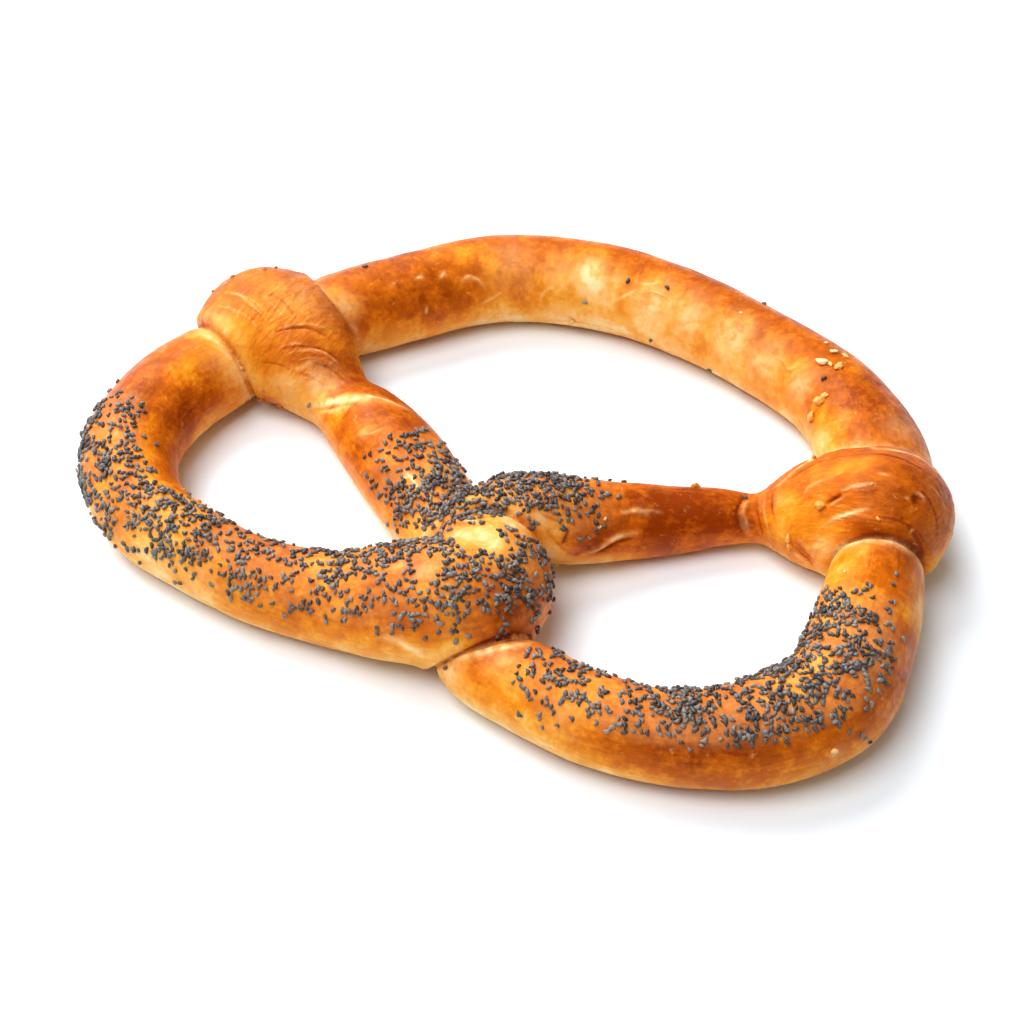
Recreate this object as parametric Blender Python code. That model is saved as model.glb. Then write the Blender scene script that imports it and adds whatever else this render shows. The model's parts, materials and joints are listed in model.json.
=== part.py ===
"""A baked pretzel with poppy seeds.

One rope of dough is twisted once round itself at the front. Its two thick ends lie over the
ring as knots, and seeds are sprinkled on the front of the rope. +X runs from the left knot to
the right one, +Y from the twist to the plain back of the ring, and the table is at Z = 0.
"""

import math
import random
from collections import namedtuple

import bmesh
import bpy
import numpy as np
from mathutils import Matrix, Vector, noise
from mathutils.bvhtree import BVHTree

MM = 0.001

# Driving dimensions of the rope, in mm
ROPE = 17.5  # thickness of the two loops
RING = 19.5  # thickness of the plain back
SETTLED = 0.9  # how far the underside has sagged flat on the baking tray
UNEVEN = 0.5  # how far the surface wanders from a smooth rope
UNEVEN_LENGTH = 17.0  # length of one such swelling or hollow
MIDDLE = (0.8, 7.4)  # plan position of the pretzel's middle, which is moved to the origin

# Faceting of the rope
RING_STEP = 4.8  # mm from one ring of vertices to the next on straight rope
RING_TURN = 14.0  # degrees that the rope turns, at most, from one ring to the next
WALK_STEP = 0.2  # mm between the places tried for the next ring
SIDES = 14
DOME_RINGS = 4

# Seeds large enough to show from a step away, in mm
SEED_LENGTH = 1.4
SEED_WIDTH = 1.0
SEED_HEIGHT = 0.9
SEED_SIZES = (0.85, 1.15)
SEED_STANDS = 0.2  # height of a seed's middle above the crust
SEED_SPACING = 4.4
SEED_TRIES = 4000
SEED_SIDES = 5
SEED_BANDS = 4
SEED_DRAW = 11  # start of the seeded random draw
LANDING_ERROR = 1.0  # a seed that lands further off than this is inside a crossing

CRUST_COLOUR = (0.62, 0.24, 0.05, 1.0)
CRUST_ROUGHNESS = 0.38
SMOOTH_BELOW = 40.0  # facets that meet at less than this many degrees are shaded as one curve

# A place along the rope: where it is in plan, how wide and how high the rope is there, and how
# far its underside is above the table, all in mm.
Station = namedtuple("Station", "name x y width height lift")

LEFT_HALF = [
    Station("knot", -66.5, 19.4, 30.6, 25.0, -SETTLED),
    Station("knot brow", -58.3, 16.9, 25.6, 22.5, -SETTLED),
    Station("neck", -44.5, 10.3, 14.8, 15.2, -SETTLED),
    Station("arm", -33.8, 3.6, 18.2, 17.2, -SETTLED),
    Station("arm belly", -25.0, -2.6, 20.5, 18.0, -SETTLED),
    Station("dips under", -15.0, -10.3, 20.0, 17.0, -SETTLED),
    Station("under", -5.0, -18.0, 19.0, 17.0, -SETTLED),
    Station("bulge", 5.0, -25.0, 23.0, 21.0, 1.0),
    Station("bulge front", 8.8, -33.6, 24.8, 24.0, 0.5),
    Station("over", 4.2, -38.0, 25.6, 24.0, 1.0),
    Station("loop start", -5.5, -40.2, 25.0, 22.0, 0.0),
    Station("loop front", -17.5, -42.5, 20.0, 19.0, -SETTLED),
    Station("loop low front", -31.4, -44.0, ROPE, ROPE, -SETTLED),
    Station("loop low", -49.5, -41.9, 16.8, ROPE, -SETTLED),
    Station("loop corner", -66.9, -35.6, 18.5, 18.0, -SETTLED),
    Station("loop side", -76.7, -22.4, 20.6, RING, -SETTLED),
    Station("loop back", -77.4, -7.8, 20.8, RING, -SETTLED),
    Station("under knot", -67.0, 17.0, RING, RING, -SETTLED),
    Station("ring left", -45.3, 43.0, RING, RING, -SETTLED),
    Station("ring back", -27.9, 58.3, RING, RING, -SETTLED),
]
RING_TOP = Station("ring top", -2.5, 64.8, RING, RING, -SETTLED)
RIGHT_HALF = [
    Station("knot", 73.4, 16.2, 28.6, 27.2, -SETTLED),
    Station("knot brow", 63.0, 16.0, 25.6, 21.5, -SETTLED),
    Station("neck", 49.0, 12.3, 10.2, 10.2, 1.2),
    Station("arm end", 42.0, 9.6, 11.6, 12.0, 0.3),
    Station("arm", 33.7, 5.3, 13.8, 14.2, -SETTLED),
    Station("arm root", 24.3, 0.0, 16.2, 16.0, -SETTLED),
    Station("rising", 14.5, -6.5, 18.5, 17.0, 1.0),
    Station("over", 6.5, -12.0, 18.0, 16.5, 4.3),
    Station("over top", 1.2, -18.5, 17.5, 16.0, 4.0),
    Station("turn", 0.5, -26.5, 17.0, 16.0, 2.0),
    Station("under", 6.5, -37.4, 18.5, 15.5, -SETTLED),
    Station("loop start", 13.5, -45.4, 17.0, 15.2, -SETTLED),
    Station("loop front", 22.8, -48.1, ROPE, 17.2, -SETTLED),
    Station("loop low", 37.0, -50.5, 17.8, ROPE, -SETTLED),
    Station("loop bottom", 52.6, -49.3, 17.8, 18.0, -SETTLED),
    Station("loop corner", 67.2, -42.8, 20.6, RING, -SETTLED),
    Station("loop side", 77.8, -30.4, 22.2, 20.0, -SETTLED),
    Station("loop back", 78.8, -13.2, 20.8, 20.0, -SETTLED),
    Station("under knot", 73.6, 15.0, 19.0, 21.4, -SETTLED),
    Station("ring shoulder", 66.5, 34.6, 23.2, 20.5, -SETTLED),
    Station("ring right", 57.3, 46.3, 20.2, 20.0, -SETTLED),
    Station("ring back", 30.0, 60.0, 18.6, 18.6, -SETTLED),
]
ROUTE = LEFT_HALF + [RING_TOP] + RIGHT_HALF[::-1]
KNOT_DOME = 14.5  # length of the round end beyond each knot's middle

# Where the seeds lie: the first and last station of each sprinkled stretch, how far the band
# leans outwards from straight up, and how far it reaches to each side, in degrees.
Sprinkled = namedtuple("Sprinkled", "half first last lean reach")

SPRINKLED = [
    Sprinkled(LEFT_HALF, "arm", "under", 15.0, 60.0),
    Sprinkled(LEFT_HALF, "bulge", "loop start", 20.0, 60.0),
    Sprinkled(LEFT_HALF, "loop start", "loop back", 25.0, 55.0),
    Sprinkled(RIGHT_HALF, "rising", "turn", 10.0, 50.0),
    Sprinkled(RIGHT_HALF, "under", "loop side", 0.0, 52.0),
]


def clear_scene():
    for thing in list(bpy.data.objects):
        bpy.data.objects.remove(thing)


def station(half, name):
    return next(place for place in half if place.name == name)


def smooth_through(marks, values, at):
    """A smooth curve through the values given at the marks, read at each place of at."""
    slopes = np.gradient(values, marks, axis=0)
    span = np.clip(np.searchsorted(marks, at, side="right") - 1, 0, len(marks) - 2)
    length = (marks[span + 1] - marks[span])[:, None]
    u = (at[:, None] - marks[span][:, None]) / length
    start = values[span]
    end = values[span + 1]
    return (
        start * (2 * u**3 - 3 * u**2 + 1)
        + end * (3 * u**2 - 2 * u**3)
        + slopes[span] * length * (u**3 - 2 * u**2 + u)
        + slopes[span + 1] * length * (u**3 - u**2)
    )


class Rope:
    """The rope's centre line and thickness, read by the distance along it in mm."""

    def __init__(self, route):
        self.route = route
        self.rows = np.array(
            [[s.x, s.y, s.lift + s.height / 2, s.width / 2, s.height / 2] for s in route]
        )
        steps = np.linalg.norm(np.diff(self.rows[:, :3], axis=0), axis=1)
        self.marks = np.concatenate([[0.0], np.cumsum(steps)])

    def mark(self, place):
        return float(self.marks[self.route.index(place)])

    def read(self, mark):
        """Centre, direction, half width and half height at one mark."""
        here, ahead, behind = smooth_through(
            self.marks, self.rows, np.array([mark, mark + 0.5, mark - 0.5])
        )
        direction = Vector(ahead[:3] - behind[:3]).normalized()
        return Vector(here[:3]), direction, here[3], here[4]


def uneven(point):
    """How far the surface stands out from a smooth rope at a point, in mm."""
    return UNEVEN * noise.noise(point / UNEVEN_LENGTH)


def surface_point(centre, direction, half_width, half_height, angle):
    """A point of the rope's surface; the angle is 0 at its side and a quarter turn at its top."""
    side = Vector((0, 0, 1)).cross(direction).normalized()
    up = direction.cross(side)
    out = side * (half_width * math.cos(angle)) + up * (half_height * math.sin(angle))
    point = centre + out
    return point + out.normalized() * uneven(point)


def section_ring(bm, centre, direction, half_width, half_height):
    ring = []
    for k in range(SIDES):
        angle = 2 * math.pi * k / SIDES
        point = surface_point(centre, direction, half_width, half_height, angle)
        ring.append(bm.verts.new(point * MM))
    return ring


def join_rings(bm, first, second):
    for k in range(SIDES):
        m = (k + 1) % SIDES
        bm.faces.new((first[k], first[m], second[m], second[k]))


def close_end(bm, rope, ring, mark, is_knot, way):
    """Close a stretch with a flat face, or with the round end of a knot."""
    if not is_knot:
        bm.faces.new(ring)
        return
    centre, direction, half_width, half_height = rope.read(mark)
    last = ring
    for k in range(1, DOME_RINGS):
        angle = math.pi / 2 * k / DOME_RINGS
        middle = centre + direction * (way * KNOT_DOME * math.sin(angle))
        share = math.cos(angle)
        following = section_ring(bm, middle, direction, half_width * share, half_height * share)
        join_rings(bm, last, following)
        last = following
    tip = bm.verts.new((centre + direction * (way * KNOT_DOME)) * MM)
    for k in range(SIDES):
        bm.faces.new((last[k], last[(k + 1) % SIDES], tip))


def ring_marks(rope, start, end):
    """Marks of the rings of a stretch, closer together where the rope turns."""
    marks = [start]
    direction = rope.read(start)[1]
    for mark in np.arange(start, end, WALK_STEP):
        turned = math.degrees(direction.angle(rope.read(mark)[1]))
        if mark - marks[-1] >= RING_STEP or turned >= RING_TURN:
            marks.append(mark)
            direction = rope.read(mark)[1]
    if end - marks[-1] < RING_STEP / 2:
        marks.pop()
    return marks + [end]


def make_stretch(name, rope, start, end, knot_first=False, knot_last=False):
    """A closed solid of the rope between two marks."""
    bm = bmesh.new()
    rings = []
    for mark in ring_marks(rope, start, end):
        rings.append(section_ring(bm, *rope.read(mark)))
    for first, second in zip(rings, rings[1:]):
        join_rings(bm, first, second)
    close_end(bm, rope, rings[0], start, knot_first, -1)
    close_end(bm, rope, rings[-1], end, knot_last, 1)
    bmesh.ops.recalc_face_normals(bm, faces=bm.faces)
    return new_object(name, bm)


def new_object(name, bm):
    mesh = bpy.data.meshes.new(name)
    bm.to_mesh(mesh)
    bm.free()
    return bpy.data.objects.new(name, mesh)


def make_stretches(rope):
    """The rope in four stretches, because a stretch may not cross itself."""
    ends = [
        0.0,
        rope.mark(station(LEFT_HALF, "bulge front")),
        rope.mark(RING_TOP),
        rope.mark(station(RIGHT_HALF, "turn")),
        float(rope.marks[-1]),
    ]
    stretches = []
    for k in range(4):
        stretches.append(
            make_stretch(f"stretch_{k}", rope, ends[k], ends[k + 1], k == 0, k == 3)
        )
    return stretches


def crust_of(stretches):
    """All the stretches as one tree for finding where a seed lands."""
    bm = bmesh.new()
    for stretch in stretches:
        bm.from_mesh(stretch.data)
    tree = BVHTree.FromBMesh(bm)
    bm.free()
    return tree


def landing(tree, rope, band, draw):
    """A random place of a sprinkled band on the open crust, or None inside the dough."""
    first = rope.mark(station(band.half, band.first))
    last = rope.mark(station(band.half, band.last))
    centre, direction, half_width, half_height = rope.read(draw.uniform(first, last))
    angle = math.radians(90.0 - band.lean + draw.uniform(-band.reach, band.reach))
    point = surface_point(centre, direction, half_width, half_height, angle)
    out = (point - centre).normalized()
    hit, normal, face, distance = tree.ray_cast((point + out * 2 * ROPE) * MM, -out)
    if hit is None or (hit / MM - point).length > LANDING_ERROR:
        return None
    return hit, normal


def seed_places(stretches, rope):
    """Places of the seeds, evenly spread over the sprinkled bands by a seeded random draw."""
    tree = crust_of(stretches)
    draw = random.Random(SEED_DRAW)
    lengths = [
        abs(rope.mark(station(b.half, b.last)) - rope.mark(station(b.half, b.first)))
        for b in SPRINKLED
    ]
    places = []
    for _ in range(SEED_TRIES):
        band = draw.choices(SPRINKLED, weights=lengths)[0]
        place = landing(tree, rope, band, draw)
        if place is None:
            continue
        if all((place[0] - other[0]).length > SEED_SPACING * MM for other in places):
            places.append(place)
    return places


def make_seed(name, place, draw):
    """One seed lying on the crust, turned any way."""
    spot, normal = place
    size = draw.uniform(*SEED_SIZES) * MM / 2
    turn = Matrix.Rotation(draw.uniform(0, 2 * math.pi), 4, "Z")
    stand = normal.to_track_quat("Z", "Y").to_matrix().to_4x4()
    shape = Matrix.Diagonal((SEED_LENGTH * size, SEED_WIDTH * size, SEED_HEIGHT * size, 1.0))
    at = Matrix.Translation(spot + normal * SEED_STANDS * MM)
    bm = bmesh.new()
    bmesh.ops.create_uvsphere(
        bm, u_segments=SEED_SIDES, v_segments=SEED_BANDS, radius=1.0, matrix=at @ stand @ turn @ shape
    )
    return new_object(name, bm)


def fuse(body, others):
    """Join the others to the body in one Boolean union."""
    joined = bpy.data.collections.new("joined")
    bpy.context.scene.collection.children.link(joined)
    for thing in others:
        joined.objects.link(thing)
    union = body.modifiers.new("union", "BOOLEAN")
    union.operation = "UNION"
    union.operand_type = "COLLECTION"
    union.collection = joined
    apply_modifiers(body)
    for thing in list(joined.objects):
        bpy.data.objects.remove(thing)
    bpy.data.collections.remove(joined)


def flatten_underside(body):
    """Cut off what lies below the table."""
    bm = bmesh.new()
    bmesh.ops.create_cube(bm, size=1.0, matrix=Matrix.Translation((0, 0, -0.5)))
    tray = new_object("tray", bm)
    cut = body.modifiers.new("tray", "BOOLEAN")
    cut.operation = "DIFFERENCE"
    cut.object = tray
    apply_modifiers(body)
    bpy.data.objects.remove(tray)


def apply_modifiers(body):
    evaluated = body.evaluated_get(bpy.context.evaluated_depsgraph_get())
    mesh = bpy.data.meshes.new_from_object(evaluated)
    body.modifiers.clear()
    body.data = mesh


def keep_outer_body(body):
    """Fill sealed hollows and drop loose scraps, by keeping only the largest skin."""
    bm = bmesh.new()
    bm.from_mesh(body.data)
    unseen = set(bm.faces)
    skins = []
    while unseen:
        skin = {unseen.pop()}
        edge = list(skin)
        while edge:
            face = edge.pop()
            near = {f for side in face.edges for f in side.link_faces if f in unseen}
            unseen -= near
            skin |= near
            edge.extend(near)
        skins.append(skin)
    largest = max(skins, key=len)
    for skin in skins:
        if skin is not largest:
            bmesh.ops.delete(bm, geom=list(skin), context="FACES")
    bm.to_mesh(body.data)
    bm.free()


def crust():
    material = bpy.data.materials.new("crust")
    material.use_nodes = True
    shader = material.node_tree.nodes["Principled BSDF"]
    shader.inputs["Base Color"].default_value = CRUST_COLOUR
    shader.inputs["Roughness"].default_value = CRUST_ROUGHNESS
    shader.inputs["Metallic"].default_value = 0.0
    return material


def main():
    clear_scene()
    collection = bpy.data.collections.new("pretzel")
    bpy.context.scene.collection.children.link(collection)
    rope = Rope(ROUTE)
    stretches = make_stretches(rope)
    draw = random.Random(SEED_DRAW)
    seeds = []
    for k, place in enumerate(seed_places(stretches, rope)):
        seeds.append(make_seed(f"seed_{k}", place, draw))
    body = stretches[0]
    body.name = "pretzel"
    collection.objects.link(body)
    fuse(body, stretches[1:] + seeds)
    flatten_underside(body)
    keep_outer_body(body)
    body.data.name = "pretzel"
    body.data.transform(Matrix.Translation((-MIDDLE[0] * MM, -MIDDLE[1] * MM, 0)))
    body.data.materials.clear()
    body.data.materials.append(crust())
    body.data.shade_smooth()
    body.data.set_sharp_from_angle(angle=math.radians(SMOOTH_BELOW))


main()
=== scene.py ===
"""The looks of a baked pretzel with poppy seeds: its crust, seeds, crumbs, light and camera.

Lengths are in mm, in the drawing's coordinates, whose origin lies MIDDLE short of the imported
part's. They become metres in the part's own frame where a mesh is written.
"""

import json
import math
import random
from collections import namedtuple

import bmesh
import bpy
import numpy as np
from mathutils import Matrix, Vector, noise
from mathutils.bvhtree import BVHTree
from mathutils.kdtree import KDTree

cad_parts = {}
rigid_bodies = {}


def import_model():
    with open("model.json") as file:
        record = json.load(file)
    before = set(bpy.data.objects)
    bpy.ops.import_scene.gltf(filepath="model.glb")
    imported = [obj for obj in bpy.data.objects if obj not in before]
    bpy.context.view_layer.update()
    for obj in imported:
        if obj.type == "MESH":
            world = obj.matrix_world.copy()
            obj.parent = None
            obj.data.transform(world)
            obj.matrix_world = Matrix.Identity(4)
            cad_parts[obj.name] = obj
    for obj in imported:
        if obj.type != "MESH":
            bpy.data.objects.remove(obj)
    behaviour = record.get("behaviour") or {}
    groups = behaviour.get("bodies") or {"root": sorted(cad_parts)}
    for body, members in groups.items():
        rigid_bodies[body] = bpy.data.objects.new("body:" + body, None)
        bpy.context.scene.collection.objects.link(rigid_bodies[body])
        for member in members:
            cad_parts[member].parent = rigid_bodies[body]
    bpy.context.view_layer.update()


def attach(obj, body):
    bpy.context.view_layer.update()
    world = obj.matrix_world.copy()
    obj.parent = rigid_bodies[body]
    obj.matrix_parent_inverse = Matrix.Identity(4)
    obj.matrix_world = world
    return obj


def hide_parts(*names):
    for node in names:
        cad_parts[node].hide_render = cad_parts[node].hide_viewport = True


MM = 0.001
MIDDLE = np.array([0.8, 7.4, 0.0])

# The rope of dough, as the solid has it
ROPE = 17.5
RING = 19.5
SETTLED = 0.9
KNOT_DOME = 14.5
UNEVEN = 0.12
UNEVEN_LENGTH = 17.0

Station = namedtuple("Station", "name x y width height lift")

LEFT_HALF = [
    Station("knot", -66.5, 19.4, 30.6, 25.0, -SETTLED),
    Station("knot brow", -58.3, 16.9, 25.6, 22.5, -SETTLED),
    Station("neck", -44.5, 10.3, 14.8, 15.2, -SETTLED),
    Station("arm", -33.8, 3.6, 18.2, 17.2, -SETTLED),
    Station("arm belly", -25.0, -2.6, 20.5, 18.0, -SETTLED),
    Station("dips under", -15.0, -10.3, 20.0, 17.0, -SETTLED),
    Station("under", -5.0, -18.0, 19.0, 17.0, -SETTLED),
    Station("bulge", 5.0, -25.0, 23.0, 21.0, 1.0),
    Station("bulge front", 8.8, -33.6, 24.8, 24.0, 0.5),
    Station("over", 4.2, -38.0, 25.6, 24.0, 1.0),
    Station("loop start", -5.5, -40.2, 25.0, 22.0, 0.0),
    Station("loop front", -17.5, -42.5, 20.0, 19.0, -SETTLED),
    Station("loop low front", -31.4, -44.0, ROPE, ROPE, -SETTLED),
    Station("loop low", -49.5, -41.9, 16.8, ROPE, -SETTLED),
    Station("loop corner", -66.9, -35.6, 18.5, 18.0, -SETTLED),
    Station("loop side", -76.7, -22.4, 20.6, RING, -SETTLED),
    Station("loop back", -77.4, -7.8, 20.8, RING, -SETTLED),
    Station("under knot", -67.0, 17.0, RING, RING, -SETTLED),
    Station("ring left", -45.3, 43.0, RING, RING, -SETTLED),
    Station("ring back", -27.9, 58.3, RING, RING, -SETTLED),
]
RING_TOP = Station("ring top", -2.5, 64.8, RING, RING, -SETTLED)
RIGHT_HALF = [
    Station("knot", 73.4, 16.2, 28.6, 27.2, -SETTLED),
    Station("knot brow", 63.0, 16.0, 25.6, 21.5, -SETTLED),
    Station("neck", 49.0, 12.3, 10.2, 10.2, 1.2),
    Station("arm end", 42.0, 9.6, 11.6, 12.0, 0.3),
    Station("arm", 33.7, 5.3, 13.8, 14.2, -SETTLED),
    Station("arm root", 24.3, 0.0, 16.2, 16.0, -SETTLED),
    Station("rising", 14.5, -6.5, 18.5, 17.0, 1.0),
    Station("over", 6.5, -12.0, 18.0, 16.5, 4.3),
    Station("over top", 1.2, -18.5, 17.5, 16.0, 4.0),
    Station("turn", 0.5, -26.5, 17.0, 16.0, 2.0),
    Station("under", 6.5, -37.4, 18.5, 15.5, -SETTLED),
    Station("loop start", 13.5, -45.4, 17.0, 15.2, -SETTLED),
    Station("loop front", 22.8, -48.1, ROPE, 17.2, -SETTLED),
    Station("loop low", 37.0, -50.5, 17.8, ROPE, -SETTLED),
    Station("loop bottom", 52.6, -49.3, 17.8, 18.0, -SETTLED),
    Station("loop corner", 67.2, -42.8, 20.6, RING, -SETTLED),
    Station("loop side", 77.8, -30.4, 22.2, 20.0, -SETTLED),
    Station("loop back", 78.8, -13.2, 20.8, 20.0, -SETTLED),
    Station("under knot", 73.6, 15.0, 19.0, 21.4, -SETTLED),
    Station("ring shoulder", 66.5, 34.6, 23.2, 20.5, -SETTLED),
    Station("ring right", 57.3, 46.3, 20.2, 20.0, -SETTLED),
    Station("ring back", 30.0, 60.0, 18.6, 18.6, -SETTLED),
]
ROUTE = LEFT_HALF + [RING_TOP] + RIGHT_HALF[::-1]

# The photograph's camera, aimed at the drawing's origin
VIEW_AZIMUTH = math.radians(23.0)
VIEW_ELEVATION = math.radians(46.0)
LENS = 80.0
SENSOR = 36.0
PHOTO_SIZE = 1024
PIXELS_PER_MM = 4.8
VIEW_DISTANCE = LENS / SENSOR * PHOTO_SIZE / PIXELS_PER_MM

# Light: the room's brightness, and softboxes with their places and sizes in metres
HORIZON = 0.38
ZENITH = 0.27
HORIZON_ENDS = 0.7  # share of the way up at which the room is as bright as its top
DIM_SIDE = 0.68  # how bright the right side of the room is against its left side
SIDES_APART = 0.8  # share of the way to each side at which the room is as bright as there

Softbox = namedtuple("Softbox", "name place size power")

SOFTBOXES = [
    Softbox("softbox behind", (-0.76, 0.44, 0.88), 0.9, 20.0),
    Softbox("softbox above", (-0.2, -0.35, 1.0), 0.7, 9.5),
]

FLOOR_COLOUR = (0.87, 0.94, 0.995)
FLOOR_HALF = 4.0  # metres

# Fineness of the crust's mesh
LINE_STEP = 0.8  # mm between the points of the centre line
DOME_STEPS = 12
SIDES = 64
CELL = 1.03  # size of the remeshing cells
KNOT_SPLIT = 0.5  # share of knot above which the crust is split once
CREASE_SPLITS = (1.7, 0.8)  # gaps to the next strand within which the crust is split, in mm
LINE_SPLITS = (1.3, 0.8)  # distances from a wrinkle within which the crust is split, in mm
STRAND_STEP = 0.5  # mm between the sections that a point is measured from
STRANDS_APART = 32.0  # two places further apart along the rope than this are two strands
CHUNK = 4096
FOOT_ROUNDING = 0.3  # how softly the side turns into the flat foot
FOOT_TOP = 2.0  # mm, height to which the foot is looked for
FINE_ABOVE = 1.5  # mm, height above which creases are split
FINE_FACING = -0.1  # how far up the crust of a knot faces where it is split

LINE_PIXELS = 2.0  # pixels between the points of a line laid on the crust
NEAREST_PIXELS = 12  # how far a pixel beside the outline may look for the crust

# Seeds that lie off the sprinkled bands, by the photograph's pixels
STRAY_SEEDS = [
    (365, 267), (585, 302), (628, 281), (667, 288), (651, 340), (710, 370), (764, 302), (824, 379),
    (745, 498), (893, 584), (144, 437), (156, 444), (117, 382), (108, 391), (192, 491), (221, 513),
    (309, 405), (896, 574), (388, 524), (446, 668), (497, 636), (560, 612),
]

# Crumbs and flakes of dough: how long they are in mm, how flat, and how brown from 0 to 1
Crumb = namedtuple("Crumb", "x y size flat brown")

CRUMBS = [
    Crumb(826, 343, 1.2, 0.35, 0.15),
    Crumb(834, 352, 1.9, 0.35, 0.10),
    Crumb(845, 356, 1.7, 0.30, 0.20),
    Crumb(822, 362, 2.8, 0.35, 0.05),
    Crumb(830, 364, 1.4, 0.40, 0.15),
    Crumb(839, 367, 2.0, 0.40, 0.35),
    Crumb(820, 401, 2.6, 0.55, 0.35),
    Crumb(825, 396, 1.6, 0.60, 0.30),
    Crumb(812, 417, 2.4, 0.55, 0.40),
    Crumb(741, 313, 1.0, 0.40, 0.10),
    Crumb(695, 485, 1.7, 0.75, 0.45),
    Crumb(698, 487, 1.0, 0.75, 0.60),
    Crumb(265, 270, 1.1, 0.70, 0.75),
    Crumb(276, 268, 0.9, 0.70, 0.80),
    Crumb(233, 277, 1.0, 0.70, 0.65),
    Crumb(212, 290, 0.9, 0.70, 0.60),
    Crumb(845, 572, 0.8, 0.60, 0.15),
    Crumb(878, 519, 1.0, 0.40, 0.35),
    Crumb(872, 484, 0.7, 0.40, 0.35),
    Crumb(605, 519, 0.8, 0.60, 0.10),
    Crumb(599, 527, 0.9, 0.60, 0.15),
    Crumb(834, 751, 1.5, 0.60, 0.25),
    Crumb(184, 490, 0.9, 0.70, 0.50),
    Crumb(199, 500, 1.0, 0.70, 0.45),
    Crumb(205, 504, 0.9, 0.70, 0.55),
    Crumb(814, 458, 1.0, 0.80, 0.70),
    Crumb(572, 321, 1.4, 0.60, 0.30),
    Crumb(263, 392, 1.2, 0.60, 0.60),
    Crumb(248, 401, 1.2, 0.50, 0.75),
    Crumb(258, 403, 1.5, 0.50, 0.80),
    Crumb(268, 404, 1.3, 0.50, 0.70),
    Crumb(280, 405, 1.6, 0.50, 0.80),
    Crumb(821, 506, 2.1, 0.70, 0.42),
    Crumb(789, 538, 1.9, 0.70, 0.36),
    Crumb(790, 546, 1.6, 0.70, 0.40),
]
CRUMB_SPLITS = 3
CRUMB_WIDTHS = (0.5, 0.8)  # shares of its length
CRUMB_LUMPS = 1.3
CRUMB_LUMP_HEIGHT = 0.45
CRUMB_GRAINS = 3.1
CRUMB_GRAIN_HEIGHT = 0.2
CRUMB_STANDS = 0.25  # share of its thickness

# Where the seeds lie. Each stretch is a run of places with the middle of the band (degrees
# round the rope), its reach to each side, and how thickly it is sprinkled.
Sprinkling = namedtuple("Sprinkling", "half station past middle reach thick")

SPRINKLINGS = [
    [
        Sprinkling(LEFT_HALF, "arm belly", 0.0, 95.0, 35.0, 0.0),
        Sprinkling(LEFT_HALF, "arm belly", 4.0, 97.0, 62.0, 0.6),
        Sprinkling(LEFT_HALF, "dips under", 0.0, 88.0, 72.0, 1.0),
        Sprinkling(LEFT_HALF, "under", 0.0, 95.0, 62.0, 0.8),
        Sprinkling(LEFT_HALF, "bulge", -6.0, 110.0, 50.0, 0.9),
        Sprinkling(LEFT_HALF, "bulge", 0.0, 85.0, 60.0, 0.5),
        Sprinkling(LEFT_HALF, "bulge front", 0.0, 55.0, 62.0, 1.0),
        Sprinkling(LEFT_HALF, "over", 0.0, 80.0, 62.0, 0.8),
        Sprinkling(LEFT_HALF, "loop start", 0.0, 85.0, 60.0, 0.7),
        Sprinkling(LEFT_HALF, "loop front", 0.0, 84.0, 56.0, 0.7),
        Sprinkling(LEFT_HALF, "loop low front", 0.0, 80.0, 54.0, 0.7),
        Sprinkling(LEFT_HALF, "loop low", 0.0, 80.0, 56.0, 0.8),
        Sprinkling(LEFT_HALF, "loop corner", 0.0, 50.0, 60.0, 0.85),
        Sprinkling(LEFT_HALF, "loop side", 0.0, 46.0, 60.0, 0.95),
        Sprinkling(LEFT_HALF, "loop side", 6.0, 46.0, 56.0, 0.7),
        Sprinkling(LEFT_HALF, "loop side", 7.5, 46.0, 50.0, 0.0),
    ],
    [
        Sprinkling(RIGHT_HALF, "loop back", -6.0, 110.0, 40.0, 0.0),
        Sprinkling(RIGHT_HALF, "loop back", -3.0, 112.0, 48.0, 0.6),
        Sprinkling(RIGHT_HALF, "loop back", 3.0, 110.0, 62.0, 1.0),
        Sprinkling(RIGHT_HALF, "loop side", 0.0, 108.0, 62.0, 1.0),
        Sprinkling(RIGHT_HALF, "loop corner", 0.0, 104.0, 58.0, 1.0),
        Sprinkling(RIGHT_HALF, "loop bottom", 0.0, 95.0, 52.0, 0.95),
        Sprinkling(RIGHT_HALF, "loop low", 0.0, 93.0, 50.0, 0.75),
        Sprinkling(RIGHT_HALF, "loop front", 0.0, 88.0, 44.0, 0.6),
        Sprinkling(RIGHT_HALF, "loop front", 4.0, 88.0, 34.0, 0.0),
    ],
    [
        Sprinkling(RIGHT_HALF, "turn", 0.0, 75.0, 50.0, 0.8),
        Sprinkling(RIGHT_HALF, "over", 0.0, 92.0, 62.0, 1.0),
        Sprinkling(RIGHT_HALF, "rising", 0.0, 90.0, 64.0, 0.8),
        Sprinkling(RIGHT_HALF, "rising", 7.0, 90.0, 50.0, 0.35),
        Sprinkling(RIGHT_HALF, "arm root", 0.0, 88.0, 40.0, 0.0),
    ],
]
BAND_EDGE = 12.0  # degrees over which a band thins out
CLUMP = 3.4  # mm, size of the clumps that the seeds lie in
BETWEEN_CLUMPS = 0.28  # share of the seeds that lie between the clumps all the same

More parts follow.
